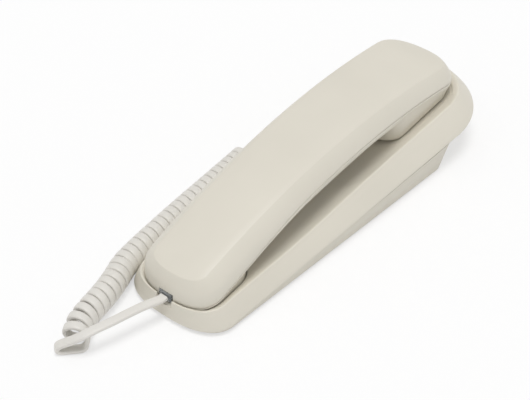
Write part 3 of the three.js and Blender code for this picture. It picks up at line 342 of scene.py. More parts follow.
def outline(name, inset=0.0, earInset=None, ends=None):
    # plan outline from the middle of the mouth end round by +X, moved inward
    shape = plans[name]
    earInset = inset if earInset is None else earInset
    ends = ends or (inset, earInset)
    mouthHalf, earHalf = shape["mouthHalf"] - inset, shape["earHalf"] - earInset
    mouthEnd, earEnd = shape["mouthEnd"] + ends[0], shape["earEnd"] - ends[1]
    mouthRound = max(shape["mouthRound"] - inset, 2)
    earRound = max(shape["earRound"] - earInset, 2)
    steps, right = planSteps["end"], []
    for i in range(steps + 1):
        angle = i / steps * math.pi / 2
        reach = abs(math.cos(angle)) ** (2 / shape["mouthPower"])
        x = mouthHalf * math.sin(angle) ** (2 / shape["mouthPower"])
        right.append((x, mouthEnd + mouthRound * (1 - reach)))
    sideStart, sideEnd = mouthEnd + mouthRound, earEnd - earRound
    for i in range(1, planSteps["side"] + 1):
        t = i / planSteps["side"]
        right.append((mouthHalf + (earHalf - mouthHalf) * t, sideStart + (sideEnd - sideStart) * t))
    for i in range(1, steps + 1):
        angle = (1 - i / steps) * math.pi / 2
        reach = abs(math.cos(angle)) ** (2 / shape["earPower"])
        x = earHalf * math.sin(angle) ** (2 / shape["earPower"])
        right.append((x if i < steps else 0.0, earEnd - earRound * (1 - reach)))
    return right + [(-x, y) for x, y in right[-2:0:-1]]


def between(first, second, share):
    return [(ax + (bx - ax) * share, ay + (by - ay) * share) for (ax, ay), (bx, by) in zip(first, second)]


def ring(points, heightAt):
    return [Vector((x, y, heightAt(y))) for x, y in points]


# tools for making pieces
def curveThrough(points, steps):
    # smooth line through the points, evenly eased where they are unevenly spaced
    points = [Vector(point) for point in points]
    padded = [points[0] * 2 - points[1], *points, points[-1] * 2 - points[-2]]
    line = []
    for p0, p1, p2, p3 in zip(padded, padded[1:], padded[2:], padded[3:]):
        t1 = max((p1 - p0).length, 1e-6) ** 0.5
        t2 = t1 + max((p2 - p1).length, 1e-6) ** 0.5
        t3 = t2 + max((p3 - p2).length, 1e-6) ** 0.5
        for i in range(steps):
            t = t1 + (t2 - t1) * i / steps
            a1 = p0.lerp(p1, t / t1)
            a2 = p1.lerp(p2, (t - t1) / (t2 - t1))
            a3 = p2.lerp(p3, (t - t2) / (t3 - t2))
            b1 = a1.lerp(a2, t / t2)
            b2 = a2.lerp(a3, (t - t1) / (t3 - t1))
            line.append(b1.lerp(b2, (t - t1) / (t2 - t1)))
    return [*line, points[-1]]


def newPiece(name, mesh, *finishNames, smooth=35):
    # turns a bmesh in millimetres into an object in metres
    bmesh.ops.transform(mesh, matrix=Matrix.Scale(mm, 4), verts=mesh.verts)
    data = bpy.data.meshes.new(name)
    mesh.to_mesh(data)
    mesh.free()
    piece = bpy.data.objects.new(name, data)
    bpy.context.scene.collection.objects.link(piece)
    for finishName in finishNames:
        data.materials.append(materials[finishName])
    data.shade_smooth()
    data.set_sharp_from_angle(angle=math.radians(smooth))
    return piece


def standFor(piece, body, slot, *nodes):
    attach(piece, body)
    if nodes:
        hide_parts(*nodes)
    return piece


def extrudeRing(mesh, verts, points):
    # pulls a closed loop of vertices out to the next ring of points
    edges = [mesh.edges.get((a, b)) for a, b in zip(verts, [*verts[1:], verts[0]])]
    made = bmesh.ops.extrude_edge_only(mesh, edges=edges)["geom"]
    fresh = {v for v in made if isinstance(v, bmesh.types.BMVert)}
    following = [next(e.other_vert(v) for e in v.link_edges if e.other_vert(v) in fresh) for v in verts]
    for pulled, point in zip(following, points):
        pulled.co = point
    return following


def loft(rings):
    # closed skin through the rings; an end ring that lies on one line closes by merging
    mesh = bmesh.new()
    verts = bmesh.ops.create_circle(mesh, segments=len(rings[0]), radius=1)["verts"]
    for vert, point in zip(verts, rings[0]):
        vert.co = point
    for points in rings[1:]:
        verts = extrudeRing(mesh, verts, points)
    bmesh.ops.remove_doubles(mesh, verts=mesh.verts, dist=0.002)
    bmesh.ops.recalc_face_normals(mesh, faces=mesh.faces)
    return mesh


def middleLine(points):
    return [Vector((0, point.y, point.z)) for point in points]


def skin(rings, sharp=(), steps=4):
    # closed body through the rings, eased between the sharp ones; both ends close along the middle
    rings = [middleLine(rings[0]), *rings, middleLine(rings[-1])]
    breaks = [0, *[index + 1 for index in sharp], len(rings) - 1]
    columns = []
    for column in zip(*rings):
        line = []
        for start, end in zip(breaks, breaks[1:]):
            span = column[start:end + 1]
            line += curveThrough(span, steps if len(span) > 2 else 1)[:-1]
        columns.append([*line, column[-1]])
    return loft(list(zip(*columns)))


def upright(points, low, high):
    # straight-walled body over a plan outline, between two heights
    return skin([ring(points, low), ring(points, high)], steps=1)


def level(height):
    return lambda y: height


def rod(radius, x, y, low, height, sides=32):
    mesh = bmesh.new()
    bmesh.ops.create_cone(
        mesh, cap_ends=True, segments=sides, radius1=radius, radius2=radius, depth=height,
        matrix=Matrix.Translation((x, y, low + height / 2)),
    )
    return mesh


def block(size, middle):
    mesh = bmesh.new()
    bmesh.ops.create_cube(mesh, size=1, matrix=Matrix.LocRotScale(Vector(middle), None, Vector(size)))
    return mesh


def joined(meshes):
    # one bmesh from several that don't touch
    whole, *others = meshes
    for other in others:
        data = bpy.data.meshes.new("working")
        other.to_mesh(data)
        other.free()
        whole.from_mesh(data)
        bpy.data.meshes.remove(data)
    return whole


def combine(mesh, tools, operation):
    # joins or cuts closed bodies with objects that are removed again
    holders = []
    for part in (mesh, joined(tools)):
        data = bpy.data.meshes.new("working")
        part.to_mesh(data)
        part.free()
        holder = bpy.data.objects.new("working", data)
        bpy.context.scene.collection.objects.link(holder)
        holders.append(holder)
    modifier = holders[0].modifiers.new("combine", "BOOLEAN")
    modifier.operation, modifier.solver, modifier.object = operation, "EXACT", holders[1]
    result = bmesh.new()
    result.from_object(holders[0], bpy.context.evaluated_depsgraph_get())
    for holder in holders:
        data = holder.data
        bpy.data.objects.remove(holder)
        bpy.data.meshes.remove(data)
    return result


def add(mesh, *tools):
    return combine(mesh, tools, "UNION")


def cutAway(mesh, *tools):
    return combine(mesh, tools, "DIFFERENCE")


def keepInside(mesh, *tools):
    return combine(mesh, tools, "INTERSECT")


def turned(profile, steps=56):
    # body of revolution about Z from pairs of radius and height
    mesh = bmesh.new()
    verts = [mesh.verts.new((radius, 0, height)) for radius, height in profile]
    edges = [mesh.edges.new(pair) for pair in zip(verts, verts[1:])]
    bmesh.ops.spin(
        mesh, geom=[*verts, *edges], cent=(0, 0, 0), axis=(0, 0, 1), angle=2 * math.pi,
        steps=steps, use_merge=True,
    )
    bmesh.ops.remove_doubles(mesh, verts=mesh.verts, dist=0.002)
    bmesh.ops.recalc_face_normals(mesh, faces=mesh.faces)
    return mesh


def roundedRing(width, depth, radius, height, x=0.0, y=0.0, cornerSteps=6):
    # rectangle with round corners, its points in order round the middle of one side
    points = []
    for corner, (sx, sy) in enumerate([(1, -1), (1, 1), (-1, 1), (-1, -1)]):
        cx, cy = sx * (width / 2 - radius), sy * (depth / 2 - radius)
        for i in range(cornerSteps + 1):
            angle = math.radians(90 * corner - 90 + 90 * i / cornerSteps)
            px, py = x + cx + radius * math.cos(angle), y + cy + radius * math.sin(angle)
            points.append(Vector((px, py, height)))
    return points


def roundedPlate(width, depth, radius, low, high, x=0.0, y=0.0):
    return loft([
        [Vector((x, y, low))] * 28,
        roundedRing(width, depth, radius, low, x, y),
        roundedRing(width, depth, radius, high, x, y),
        [Vector((x, y, high))] * 28,
    ])


def moved(mesh, matrix):
    bmesh.ops.transform(mesh, matrix=matrix, verts=mesh.verts)
    return mesh


ontoPanel = Matrix.Translation((0, phone["panelY"], panelMiddle)) @ Matrix.Rotation(panelTilt, 4, "X")

# the cord: a straight stretch from the handset, and the curls with their run into the base
cordSizes = {
    "width": 4.8,
    "thick": 2.3,
    "curlWidth": 4.42,
    "curlRadius": 5.5,
    "pitch": 4.7,
    "turns": 30,
    "openTurns": 4,  # the turns beside the fold stand wider apart
    "openPitch": 6.6,
    "stepsPerTurn": 36,
    "sectionPoints": 16,
}
handsetStretch = [
    (-1.0, -109.1, 13.0), (-1.1, -111.3, 13.0), (-2.0, -114.6, 13.3), (-4.0, -121.4, 13.8),
    (-5.9, -128.6, 13.9), (-8.0, -136.3, 13.8), (-9.2, -140.0, 13.7), (-10.4, -143.5, 13.5),
    (-11.6, -146.4, 13.0), (-13.1, -149.3, 12.2), (-15.0, -151.3, 10.8), (-17.5, -153.0, 8.9),
    (-20.3, -154.7, 6.9), (-22.3, -156.2, 5.5), (-23.4, -157.2, 3.9), (-23.2, -156.8, 2.3),
    (-21.9, -155.3, 1.4), (-20.3, -153.5, 1.35),
]
baseStretch = [
    (-50.1, 17.4, 1.35), (-50.0, 21.4, 1.35), (-48.2, 24.3, 1.45),
    (-46.0, 25, 2.2), (-44.4, 25, 4.3), (-43.0, 25, 6.5), (-41.3, 25, 7.6), (-39.2, 25, 7.6),
]
curlAxis = [
    (-19.3, -148.7), (-21.4, -145.7), (-23.5, -142.0), (-25.0, -137.6), (-26.4, -131.5),
    (-27.6, -125), (-29.2, -118), (-31.6, -110.3), (-34.9, -101), (-36.7, -90), (-38.2, -75),
    (-39.5, -60), (-41.5, -30), (-43.7, 2), (-46, 30),
]
leadEnds = [(-20.0, -153.2, 1.35), (-16.6, -149.8, 1.35)]
tailEnds = [(-49.4, 8.7, 1.35), (-49.6, 13.6, 1.35)]


def alongLine(line, distance):
    # place and direction at a distance along a line of points
    for a, b in zip(line, line[1:]):
        span = (b - a).length
        if distance <= span:
            return a.lerp(b, distance / span), (b - a).normalized()
        distance -= span
    return line[-1], (line[-1] - line[-2]).normalized()


def tangentAt(path, i):
    return (path[min(i + 1, len(path) - 1)] - path[max(i - 1, 0)]).normalized()


def sweepBand(name, path, normals, widths, thick):
    # flat cord with rounded edges, its wide face turned to each point's normal
    count = cordSizes["sectionPoints"]
    rings = []
    for i, (point, normal, width) in enumerate(zip(path, normals, widths)):
        across = tangentAt(path, i).cross(normal).normalized()
        outward = across.cross(tangentAt(path, i)).normalized()
        points = []
        for k in range(count):
            angle = 2 * math.pi * k / count
            u = math.copysign(abs(math.cos(angle)) ** 0.42, math.cos(angle)) * width / 2
            v = math.copysign(abs(math.sin(angle)) ** 0.6, math.sin(angle)) * thick / 2
            points.append(point + across * u + outward * v)
        rings.append(points)
    ends = [[path[0]] * count, [path[-1]] * count]
    return newPiece(name, loft([ends[0], *rings, ends[1]]), "cordVinyl", smooth=50)


def carriedNormals(path, first):
    # the first normal, carried along the path without twist
    normals, normal = [], Vector(first)
    for i in range(len(path)):
        tangent = tangentAt(path, i)
        normal = (normal - tangent * normal.dot(tangent)).normalized()
        normals.append(normal)
    return normals


def easeBetween(start, startDirection, end, endDirection, steps):
    # cubic bend between two points that leaves and arrives in the given directions
    a, d = Vector(start), Vector(end)
    b, c = a + Vector(startDirection), d - Vector(endDirection)
    points = []
    for i in range(1, steps):
        t = i / steps
        points.append(a * (1 - t) ** 3 + b * 3 * t * (1 - t) ** 2 + c * 3 * t * t * (1 - t) + d * t**3)
    return points


def curlPath():
    sizes = cordSizes
    rest = sizes["curlRadius"] + sizes["thick"] / 2 + 0.15
    axis = curveThrough([(x, y, rest) for x, y in curlAxis], 24)
    path, normals = [], []
    steps = sizes["stepsPerTurn"]
    for i in range(int((sizes["turns"] + 0.5) * steps) + 1):
        turn = i / steps
        opened = min(turn, sizes["openTurns"])
        along = turn * sizes["pitch"]
        along += (sizes["openPitch"] - sizes["pitch"]) * (opened - opened**2 / (2 * sizes["openTurns"]))
        centre, heading = alongLine(axis, along)
        angle = turn * 2 * math.pi
        radial = Vector((heading.y, -heading.x, 0)) * math.cos(angle) + Vector((0, 0, math.sin(angle)))
        path.append(centre + radial * sizes["curlRadius"])
        normals.append(radial)
    return path, normals


def easedNormals(first, last, count):
    normals = []
    for i in range(1, count + 1):
        t = i / (count + 1)
        normals.append(first.lerp(last, t * t * (3 - 2 * t)).normalized())
    return normals


def curledCord():
    sizes = cordSizes
    down, up = Vector((0, 0, -1)), Vector((0, 0, 1))
    curls, curlNormals = curlPath()
    lead = [Vector(handsetStretch[-1])]
    lead += [Vector(leadEnds[0]).lerp(Vector(leadEnds[1]), t / 6) for t in range(7)]
    heading = (lead[-1] - lead[0]).normalized() * 3
    rise = easeBetween(lead[-1], heading, curls[0], (0, 0.2, 3.2), 12)
    sink = easeBetween(curls[-1], (0, 1.0, -3.0), tailEnds[0], (0, 3.0, 0), 14)
    run = curveThrough([*tailEnds, *baseStretch], 5)
    path = [*lead, *rise, *curls, *sink, *run]
    normals = [down] * len(lead) + easedNormals(down, curlNormals[0], len(rise)) + curlNormals
    normals += easedNormals(curlNormals[-1], up, len(sink)) + carriedNormals(run, up)
    wide, narrow = sizes["width"], sizes["curlWidth"]
    change = len(lead) + len(rise) + sizes["stepsPerTurn"] // 2
    before = len(lead) + len(rise) + len(curls)
    widths = [wide + (narrow - wide) * min(i / change, 1) for i in range(before)]
    widths += [narrow + (wide - narrow) * (i + 1) / len(sink) for i in range(len(sink))]
    widths += [wide] * len(run)
    return sweepBand("curledCord", path, normals, widths, sizes["thick"]), path


def pathLength(path):
    return sum((b - a).length for a, b in zip(path, path[1:])) * mm


def metres(path, step):
    return [tuple(point * mm) for point in [*path[:-1:step], path[-1]]]


straightPath = curveThrough(handsetStretch, 8)
straightCord = sweepBand(
    "straightCord",
    straightPath,
    carriedNormals(straightPath, (0, 0, 1)),
    [cordSizes["width"]] * len(straightPath),
    cordSizes["thick"],
)
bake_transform(straightCord)
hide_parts("cord_handset_stretch")
curledPiece, curledPath = curledCord()
standFor(curledPiece, "base", "cord_vinyl", "cord_curls", "cord_base_stretch")
print("cord: straight %.3f m, curled %.3f m" % (pathLength(straightPath), pathLength(curledPath)))
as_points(metres(straightPath, 3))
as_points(metres(curledPath, 2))

# base: the upper shell with its cradle
shellSizes = {
    "fills": [("mouthFloor", 0.4, 3.2), ("mouthFill", 0.9, 5.5)],  # outline, from and to above the tray
    "recessStep": 0.8,
    "pocketRoom": 0.8,
    "pocketFloor": 2.4,  # above the tray
    "plungerHole": 4.3,
}
channel = [(0, 0), (1.4, 0.45), (3.6, 1.7), (7, 3.1), (11, 4.3), (16, 5.2), (20, 5.5)]  # inset, depth
baseScrews = {"near": (24.0, -38.0, 3.6), "far": (27.0, 36.0, 6.0)}  # x, y and height of the land
screw = {"shank": 1.4, "head": 2.9, "headHeight": 1.7, "boss": 3.6, "land": 2.6}
plungerY = 45.0
jackPlace = {"x": -1.0, "z": 12.7, "face": mouthTip + 7.9}
plug = {"width": 7.6, "height": 6.2, "handsetRear": 5.6, "baseRear": 2.9}


def screwPlaces():
    return [(side * x, y, land) for x, y, land in baseScrews.values() for side in (-1, 1)]


def channelRings(lowered):
    return [
        ring(outline("rim", inset), lambda y, depth=depth: rimAt(y) - depth - lowered)
        for inset, depth in channel
    ]


def openSpace(lowered):
    rings = channelRings(lowered)[::-1]
    return skin([*rings, ring(outline("rim"), lambda y: rimAt(y) + 60)], sharp=(len(rings) - 1,), steps=3)


def outerRing(share, heightAt):
    return ring(between(outline("lowerEdge"), outline("rim"), share), heightAt)


def makeBaseShell():
    sizes = shellSizes
    shell = skin([
        ring(outline("rim", 19), aboveTray(2.6)),
        ring(outline("rim", 9), aboveTray(2.9)),
        ring(outline("rim", 3.4), lambda y: rimAt(y) - 4.6),
        ring(between(outline("lowerEdge", 2.6), outline("rim", 2.6), 0.5), aboveTray(4.2)),
        ring(outline("lowerEdge", 2.6), trayAt),
        ring(outline("lowerEdge", 0.4), trayAt),
        ring(outline("lowerEdge", 0.1), aboveTray(0.12)),
        outerRing(0.0, aboveTray(0.45)),
        outerRing(0.06, aboveTray(1.6)),
        outerRing(0.5, lambda y: trayAt(y) + (rimAt(y) - trayAt(y)) * 0.6),
        outerRing(0.88, lambda y: rimAt(y) - 0.75),
        *channelRings(0),
    ], sharp=(4, 5))
    for name, bottom, top in sizes["fills"]:
        fill = upright(outline(name, 1.6), aboveTray(bottom), aboveTray(top))
        shell = add(shell, fill)
    bosses = []
    for x, y, land in screwPlaces():
        bottom = land + screw["land"] + phone["gap"]
        bosses.append(rod(screw["boss"], x, y, bottom, trayAt(y) + 5 - bottom))
    shell = add(shell, *bosses)
    shell = cutAway(shell, *[
        rod(screw["shank"] + phone["gap"], x, y, 0, trayAt(y) + 3.6) for x, y, land in screwPlaces()
    ])
    recess = upright(outline("earRecess"), trayAt, aboveTray(50))
    shell = cutAway(shell, keepInside(openSpace(sizes["recessStep"]), recess))
    # the pocket follows the mouth cup, and the handset's own side where that dips below the rim
    room = -sizes["pocketRoom"]
    shell = cutAway(shell, upright(
        outline("mouthCup", room), aboveTray(sizes["pocketFloor"]), aboveTray(50)
    ))
    shell = cutAway(shell, skin([
        ring(outline("handset", 5), lambda y: creaseAt(y) - 17.4),
        ring(outline("handset", 0.9), lambda y: creaseAt(y) - 15.6),
        ring(outline("handset", room), lambda y: creaseAt(y) - 13.4),
        ring(outline("handset", room), lambda y: creaseAt(y) + 20),
    ], steps=1))
    notchFloor = jackPlace["z"] - plug["height"] / 2 - 0.5
    notch = block((plug["width"] + 1.8, 9, 12), (jackPlace["x"], mouthTip + 1.4, notchFloor + 6))
    return cutAway(shell, notch, rod(sizes["plungerHole"], 0, plungerY, trayAt(plungerY) - 2, 20, 48))


baseShell = newPiece("baseShell", makeBaseShell(), "ivoryPlastic")
standFor(baseShell, "base", "ivory_plastic", "base_upper_shell")
print("base shell")

# base: the lower cover, a wedge that lies on its feet
coverSizes = {
    "floor": 3.4,  # height of the inner floor
    "board": 6.2,  # height of the board's underside
    "posts": [(-16, -7.6), (16, -7.6), (-16, 43.6), (16, 43.6)],
    "feet": [(-21, -92), (21, -92), (-28, 50), (28, 50)],
    "footRadius": 5.3,
    "footSeat": 1.8,
    "postRadius": 3,
    "landRadius": 4.6,
    "headRoom": 0.4,  # round a screw's head
    "keyholeHead": 4.2,
    "keyholeSlot": (4.4, 15.4),
    "soundHole": 1.1,
    "soundRing": 4,
    "lineOpening": (12.4, 16, 10.4),
    "cordOpening": (16, 11.2, 8.6),
    "keyholes": [-56, 27],
    "ringerY": -28.0,
    "slotZ": 10.0,
}


def makeCover():
    sizes = coverSizes
    gap = phone["gap"]
    cover = skin([
        ring(outline("pedestalFoot", 0.9), level(1.0)),
        ring(outline("pedestalFoot", 0.25), level(1.12)),
        ring(outline("pedestalFoot"), level(1.5)),
        ring(outline("pedestalTop"), lambda y: max(trayAt(y) - gap, 1.75)),
    ], sharp=(0, 2, 3), steps=2)
    cover = add(cover, skin([
        ring(outline("closure", 3.0), aboveTray(-1.0)),
        ring(outline("closure", 3.0), trayAt),
        ring(outline("closure", 5.4), aboveTray(1.4)),
    ], steps=1))
    cover = cutAway(cover, upright(outline("hollow"), level(sizes["floor"]), aboveTray(8)))
    bottom = sizes["floor"] - 0.5
    high, land = sizes["board"] - gap - bottom, sizes["landRadius"]
    posts = [rod(sizes["postRadius"], x, y, bottom, high) for x, y in sizes["posts"]]
    lands = [rod(land, x, y, bottom, top + screw["land"] - bottom) for x, y, top in screwPlaces()]
    cover = add(cover, *posts, *lands)
    head = screw["head"] + sizes["headRoom"]
    cover = cutAway(cover, *[rod(head, x, y, 0, top) for x, y, top in screwPlaces()])
    cover = cutAway(cover, *[rod(screw["shank"] + gap, x, y, 0.5, 11.5) for x, y, land in screwPlaces()])
    cover = cutAway(cover, *[
        rod(screw["boss"] + gap, x, y, land + screw["land"], 20) for x, y, land in screwPlaces()
    ])
    keyholes, slot = sizes["keyholes"], sizes["keyholeSlot"]
    cover = cutAway(cover, *[rod(sizes["keyholeHead"], 0, y - 6, 0, 3.9) for y in keyholes])
    cover = cutAway(cover, *[roundedPlate(*slot, 2.19, 0.02, 3.6, 0, y - 0.5) for y in keyholes])
    hole, reach = sizes["soundHole"], sizes["soundRing"]
    sound = [rod(hole, 0, sizes["ringerY"], 0, 5, 16)]
    for i in range(6):
        angle = i * math.pi / 3
        place = (reach * math.cos(angle), sizes["ringerY"] + reach * math.sin(angle))
        sound.append(rod(hole, *place, 0, 5, 16))
    feet = [rod(sizes["footRadius"], x, y, 0, sizes["footSeat"], 48) for x, y in sizes["feet"]]
    cover = cutAway(cover, *sound, *feet)
    earWall = plans["hollow"]["earEnd"] + 4.4
    sideWall = -plans["hollow"]["earHalf"] - 2
    return cutAway(
        cover,
        block(sizes["lineOpening"], (10, earWall, 9.6)),
        block(sizes["cordOpening"], (sideWall, 25, 7.6)),
        block((16, 9.2, 3.2), (sideWall - 1, 47, sizes["slotZ"])),
        block((9.2, 16, 3.2), (-16, earWall, sizes["slotZ"])),
    )


# the lower cover wears the darker copy of the ivory plastic, its pedestal's shade painted into the colour
lowerCover = newPiece("lowerCover", makeCover(), "shadedBasePlastic")
standFor(lowerCover, "base", "base_plastic", "base_lower_cover")
print("lower cover")


def makePlunger():
    top = cupAt(plungerY - 4) - phone["gap"]
    flange = trayAt(plungerY) + 2.6 - 3.6
    body = turned([
        (0, flange - 1.4), (5.2, flange - 1.4), (5.4, flange - 1.2), (5.4, flange - 0.2),
        (5.2, flange), (4.05, flange), (4.0, top - 1.5), (3.9, top - 1.0),
        (3.5, top - 0.45), (2.8, top - 0.12), (1.6, top - 0.02), (0, top),
    ])
    return moved(body, Matrix.Translation((0, plungerY, 0)))


hookPlunger = newPiece("hookPlunger", makePlunger(), "ivoryPlastic")
standFor(hookPlunger, "hook", "ivory_plastic", "hook_plunger")


def makeScrew(headTop, tip):
    # pan head that faces down with a cross recess, and a threaded shank
    head, shank, under = screw["head"], screw["shank"], headTop - screw["headHeight"]
    profile = [
        (0, under), (head * 0.6, under + 0.05), (head - 0.35, under + 0.25), (head, under + 0.8),
        (head, headTop - 0.1), (head - 0.1, headTop), (shank, headTop),
    ]
    height = headTop + 0.8
    while height < tip - 1.6:  # the thread's ridges
        profile += [(shank - 0.3, height), (shank, height + 0.3)]
        height += 0.6
    body = turned([*profile, (shank - 0.3, tip - 0.9), (0, tip)], 40)
    for angle in (0.4, 0.4 + math.pi / 2):
        bar = block((3.0, 0.7, 1.7), (0, 0, under))
        body = cutAway(body, moved(bar, Matrix.Rotation(angle, 4, "Z")))
    return body


for i, (x, y, land) in enumerate(screwPlaces()):
    body = moved(makeScrew(land - phone["gap"], trayAt(y) + 3), Matrix.Translation((x, y, 0)))
    baseScrew = newPiece(f"baseScrew{i + 1}", body, "steel")
    standFor(baseScrew, "base", "steel", f"base_screw_{i + 1}")
print("screws and plunger")

# handset: the two shells
bevel = {"mouth": 6.9, "ear": 4.5, "mouthEnd": 3.5}  # width of the sloping edge round the back
handsetScrews = [(0, mouthTip + 39.0), (0, 32.0)]
handsetSizes = {
    "boss": 3.4,
    "land": 4.6,
    "screwFloor": 3.4,  # of a screw's land above the underside
    "headRoom": 0.4,
    "soundHole": 1.2,
    "soundRing": 5.2,
    "microphoneSlots": (-3.4, 0, 3.4),
}
keyPanel = {"width": 38, "depth": 62, "thick": 1.6, "windowWidth": 34.4, "windowDepth": 57.0}
capsuleY = plans["earCup"]["mouthEnd"] + 30.5
microphoneY = plans["mouthCup"]["mouthEnd"] + 22.5


def underAt(y):
    if y < plans["mouthCup"]["earEnd"]:
        return mouthCupAt(y)
    return cupAt(y) if y > plans["earCup"]["mouthEnd"] else gripAt(y)


def bevelRing(share, extra, drop, sag=0):
    ends = (bevel["mouthEnd"] * share + extra, bevel["ear"] * share + extra)
    points = outline("handset", bevel["mouth"] * share + extra, bevel["ear"] * share + extra, ends)
    return ring(points, lambda y: creaseAt(y) - drop - sag * seamSag(y))


def makeTopShell():
    wall, rise, seamDrop = phone["wall"], phone["topRise"], phone["seamDrop"]
    start = seamDrop - phone["gap"] / 2
    shell = skin([
        bevelRing(1, 12, wall - rise),
        bevelRing(1, 3, wall + 0.1),
        bevelRing(0.55, wall, wall + 2.8),
        bevelRing(0, wall, start, 1),
        bevelRing(0, 0.3, start, 1),
        bevelRing(0, 0.08, start - 0.09, 1),
        bevelRing(0, 0, start - 0.35, 1),
        bevelRing(0.015, 0, seamDrop * 0.88, 0.4),
        bevelRing(0.16, 0, seamDrop * 0.66),
        bevelRing(0.5, 0, seamDrop * 0.34),
        bevelRing(0.9, 0, 0.75),
        bevelRing(1, 0.1, 0.22),
        bevelRing(1, 0.9, 0.02),
        bevelRing(1, 3, -rise * 0.4),
        bevelRing(1, 8, -rise * 0.85),
        bevelRing(1, 14, -rise),
    ], sharp=(3, 4))
    # notch for the plug
    place = (jackPlace["x"], plans["handset"]["mouthEnd"], jackPlace["z"] - 1.3)
    shell = cutAway(shell, block((plug["width"] + 1.0, 6, 8), place))
    floor, boss = handsetSizes["screwFloor"], handsetSizes["boss"]
    lands = [(x, y, underAt(y) + floor + screw["land"] + phone["gap"]) for x, y in handsetScrews]
    shell = add(shell, *[rod(boss, x, y, low, creaseAt(y) - 1.2 - low) for x, y, low in lands])
    hole = screw["shank"] + phone["gap"]
    return cutAway(shell, *[rod(hole, x, y, low - 1, 8) for x, y, low in lands])


def makeBottomShell():
    def sideAt(share):
        # height on the side wall, from the grip's underside at 0 to the seam at 1
        def heightAt(y):
            low = creaseAt(y) - phone["gripDrop"]
            return low + share * (seamAt(y) - phone["gap"] / 2 - low)
        return heightAt

    shell = skin([
        ring(outline("handset", 7), gripAt),
        ring(outline("handset", 4), lambda y: min(sideAt(0.11)(y), panelAt(y) + 0.6)),
        ring(outline("handset", 1.4), sideAt(0.4)),
        ring(outline("handset", 0.3), sideAt(0.72)),
        ring(outline("handset", 0), sideAt(0.96)),
        ring(outline("handset", 0.25), sideAt(1)),
    ], sharp=(0, 5))
    shell = add(shell, skin([
        ring(outline("earCup", 4.2), cupAt),
        ring(outline("earCup", 2.4), lambda y: cupAt(y) + 0.12),
        ring(outline("earCup", 0.8), lambda y: cupAt(y) + 0.9),
        ring(outline("earCup", 0), lambda y: cupAt(y) + 3.2),
        ring(outline("earCup", -1.2), lambda y: seamAt(y) - 1.5),
    ], sharp=(0, 4)))
    shell = add(shell, skin([
        ring(outline("mouthCup", 4.0), mouthCupAt),
        ring(outline("mouthCup", 2.2), lambda y: mouthCupAt(y) + 0.1),
        ring(outline("mouthCup", 0.8), lambda y: mouthCupAt(y) + 0.75),
        ring(outline("mouthCup", 0), lambda y: mouthCupAt(y) + 2.6),
        ring(outline("mouthCup", -0.6), lambda y: seamAt(y) - 1.5),
    ], sharp=(0, 4)))
    wall = phone["wall"]
    high = lambda y: seamAt(y) + 5
    shell = cutAway(shell, skin([
        ring(outline("handset", 7.5), lambda y: gripAt(y) + 3.2),
        ring(outline("handset", 3.2), lambda y: max(seamAt(y) - 3.2, gripAt(y) + 3.25)),
        ring(outline("handset", wall), lambda y: max(seamAt(y) - 1.8, gripAt(y) + 3.3)),
        ring(outline("handset", wall), high),
    ], steps=1))
    shell = cutAway(shell, upright(outline("earCup", wall + 0.6), lambda y: cupAt(y) + wall, high))
    shell = cutAway(shell, upright(outline("mouthCup", wall + 0.6), lambda y: mouthCupAt(y) + 1.7, high))
    lands = [(x, y, underAt(y)) for x, y in handsetScrews]
    shell = add(shell, *[rod(handsetSizes["land"], x, y, low + 1, 5.0) for x, y, low in lands])
    head, shank = screw["head"] + handsetSizes["headRoom"], screw["shank"] + phone["gap"]
    shell = cutAway(shell, *[rod(head, x, y, low - 8, 11.4) for x, y, low in lands])
    shell = cutAway(shell, *[rod(shank, x, y, low, 20) for x, y, low in lands])
    sizes = keyPanel
    pocket = roundedPlate(sizes["width"] + 0.8, sizes["depth"] + 0.8, 3.4, -1, sizes["thick"] + 0.3)
    window = roundedPlate(sizes["windowWidth"], sizes["windowDepth"], 2, -1, sizes["thick"] + 6.2)
    shell = cutAway(shell, moved(pocket, ontoPanel))
    shell = cutAway(shell, moved(window, ontoPanel))
    hole, reach = handsetSizes["soundHole"], handsetSizes["soundRing"]
    holes = [rod(hole, 0, capsuleY, cupAt(capsuleY) - 2, 6, 20)]
    for i in range(6):
        angle = i * math.pi / 3
        x, y = reach * math.cos(angle), capsuleY + reach * math.sin(angle)
        holes.append(rod(hole, x, y, cupAt(y) - 2, 6, 20))
    low = mouthCupAt(microphoneY)
    for x in handsetSizes["microphoneSlots"]:
        holes.append(roundedPlate(1.4, 5, 0.69, low - 2.5, low + 3.5, x, microphoneY))
    place = (jackPlace["x"], plans["handset"]["mouthEnd"], jackPlace["z"])
    opening = block((plug["width"] + 1.0, 12, plug["height"] + 0.7), place)
    return cutAway(shell, *holes, opening)


handsetTop = newPiece("handsetTop", makeTopShell(), "ivoryPlastic")
standFor(handsetTop, "handset", "ivory_plastic", "handset_top_shell")
handsetBottom = newPiece("handsetBottom", makeBottomShell(), "ivoryPlastic")
standFor(handsetBottom, "handset", "ivory_plastic", "handset_bottom_shell")
for i, (x, y) in enumerate(handsetScrews):
    land = underAt(y) + handsetSizes["screwFloor"]
    body = moved(makeScrew(land - phone["gap"], land + screw["land"] + 6.5), Matrix.Translation((x, y, 0)))
    standFor(newPiece(f"handsetScrew{i + 1}", body, "steel"), "handset", "steel", f"handset_screw_{i + 1}")
print("handset shells")

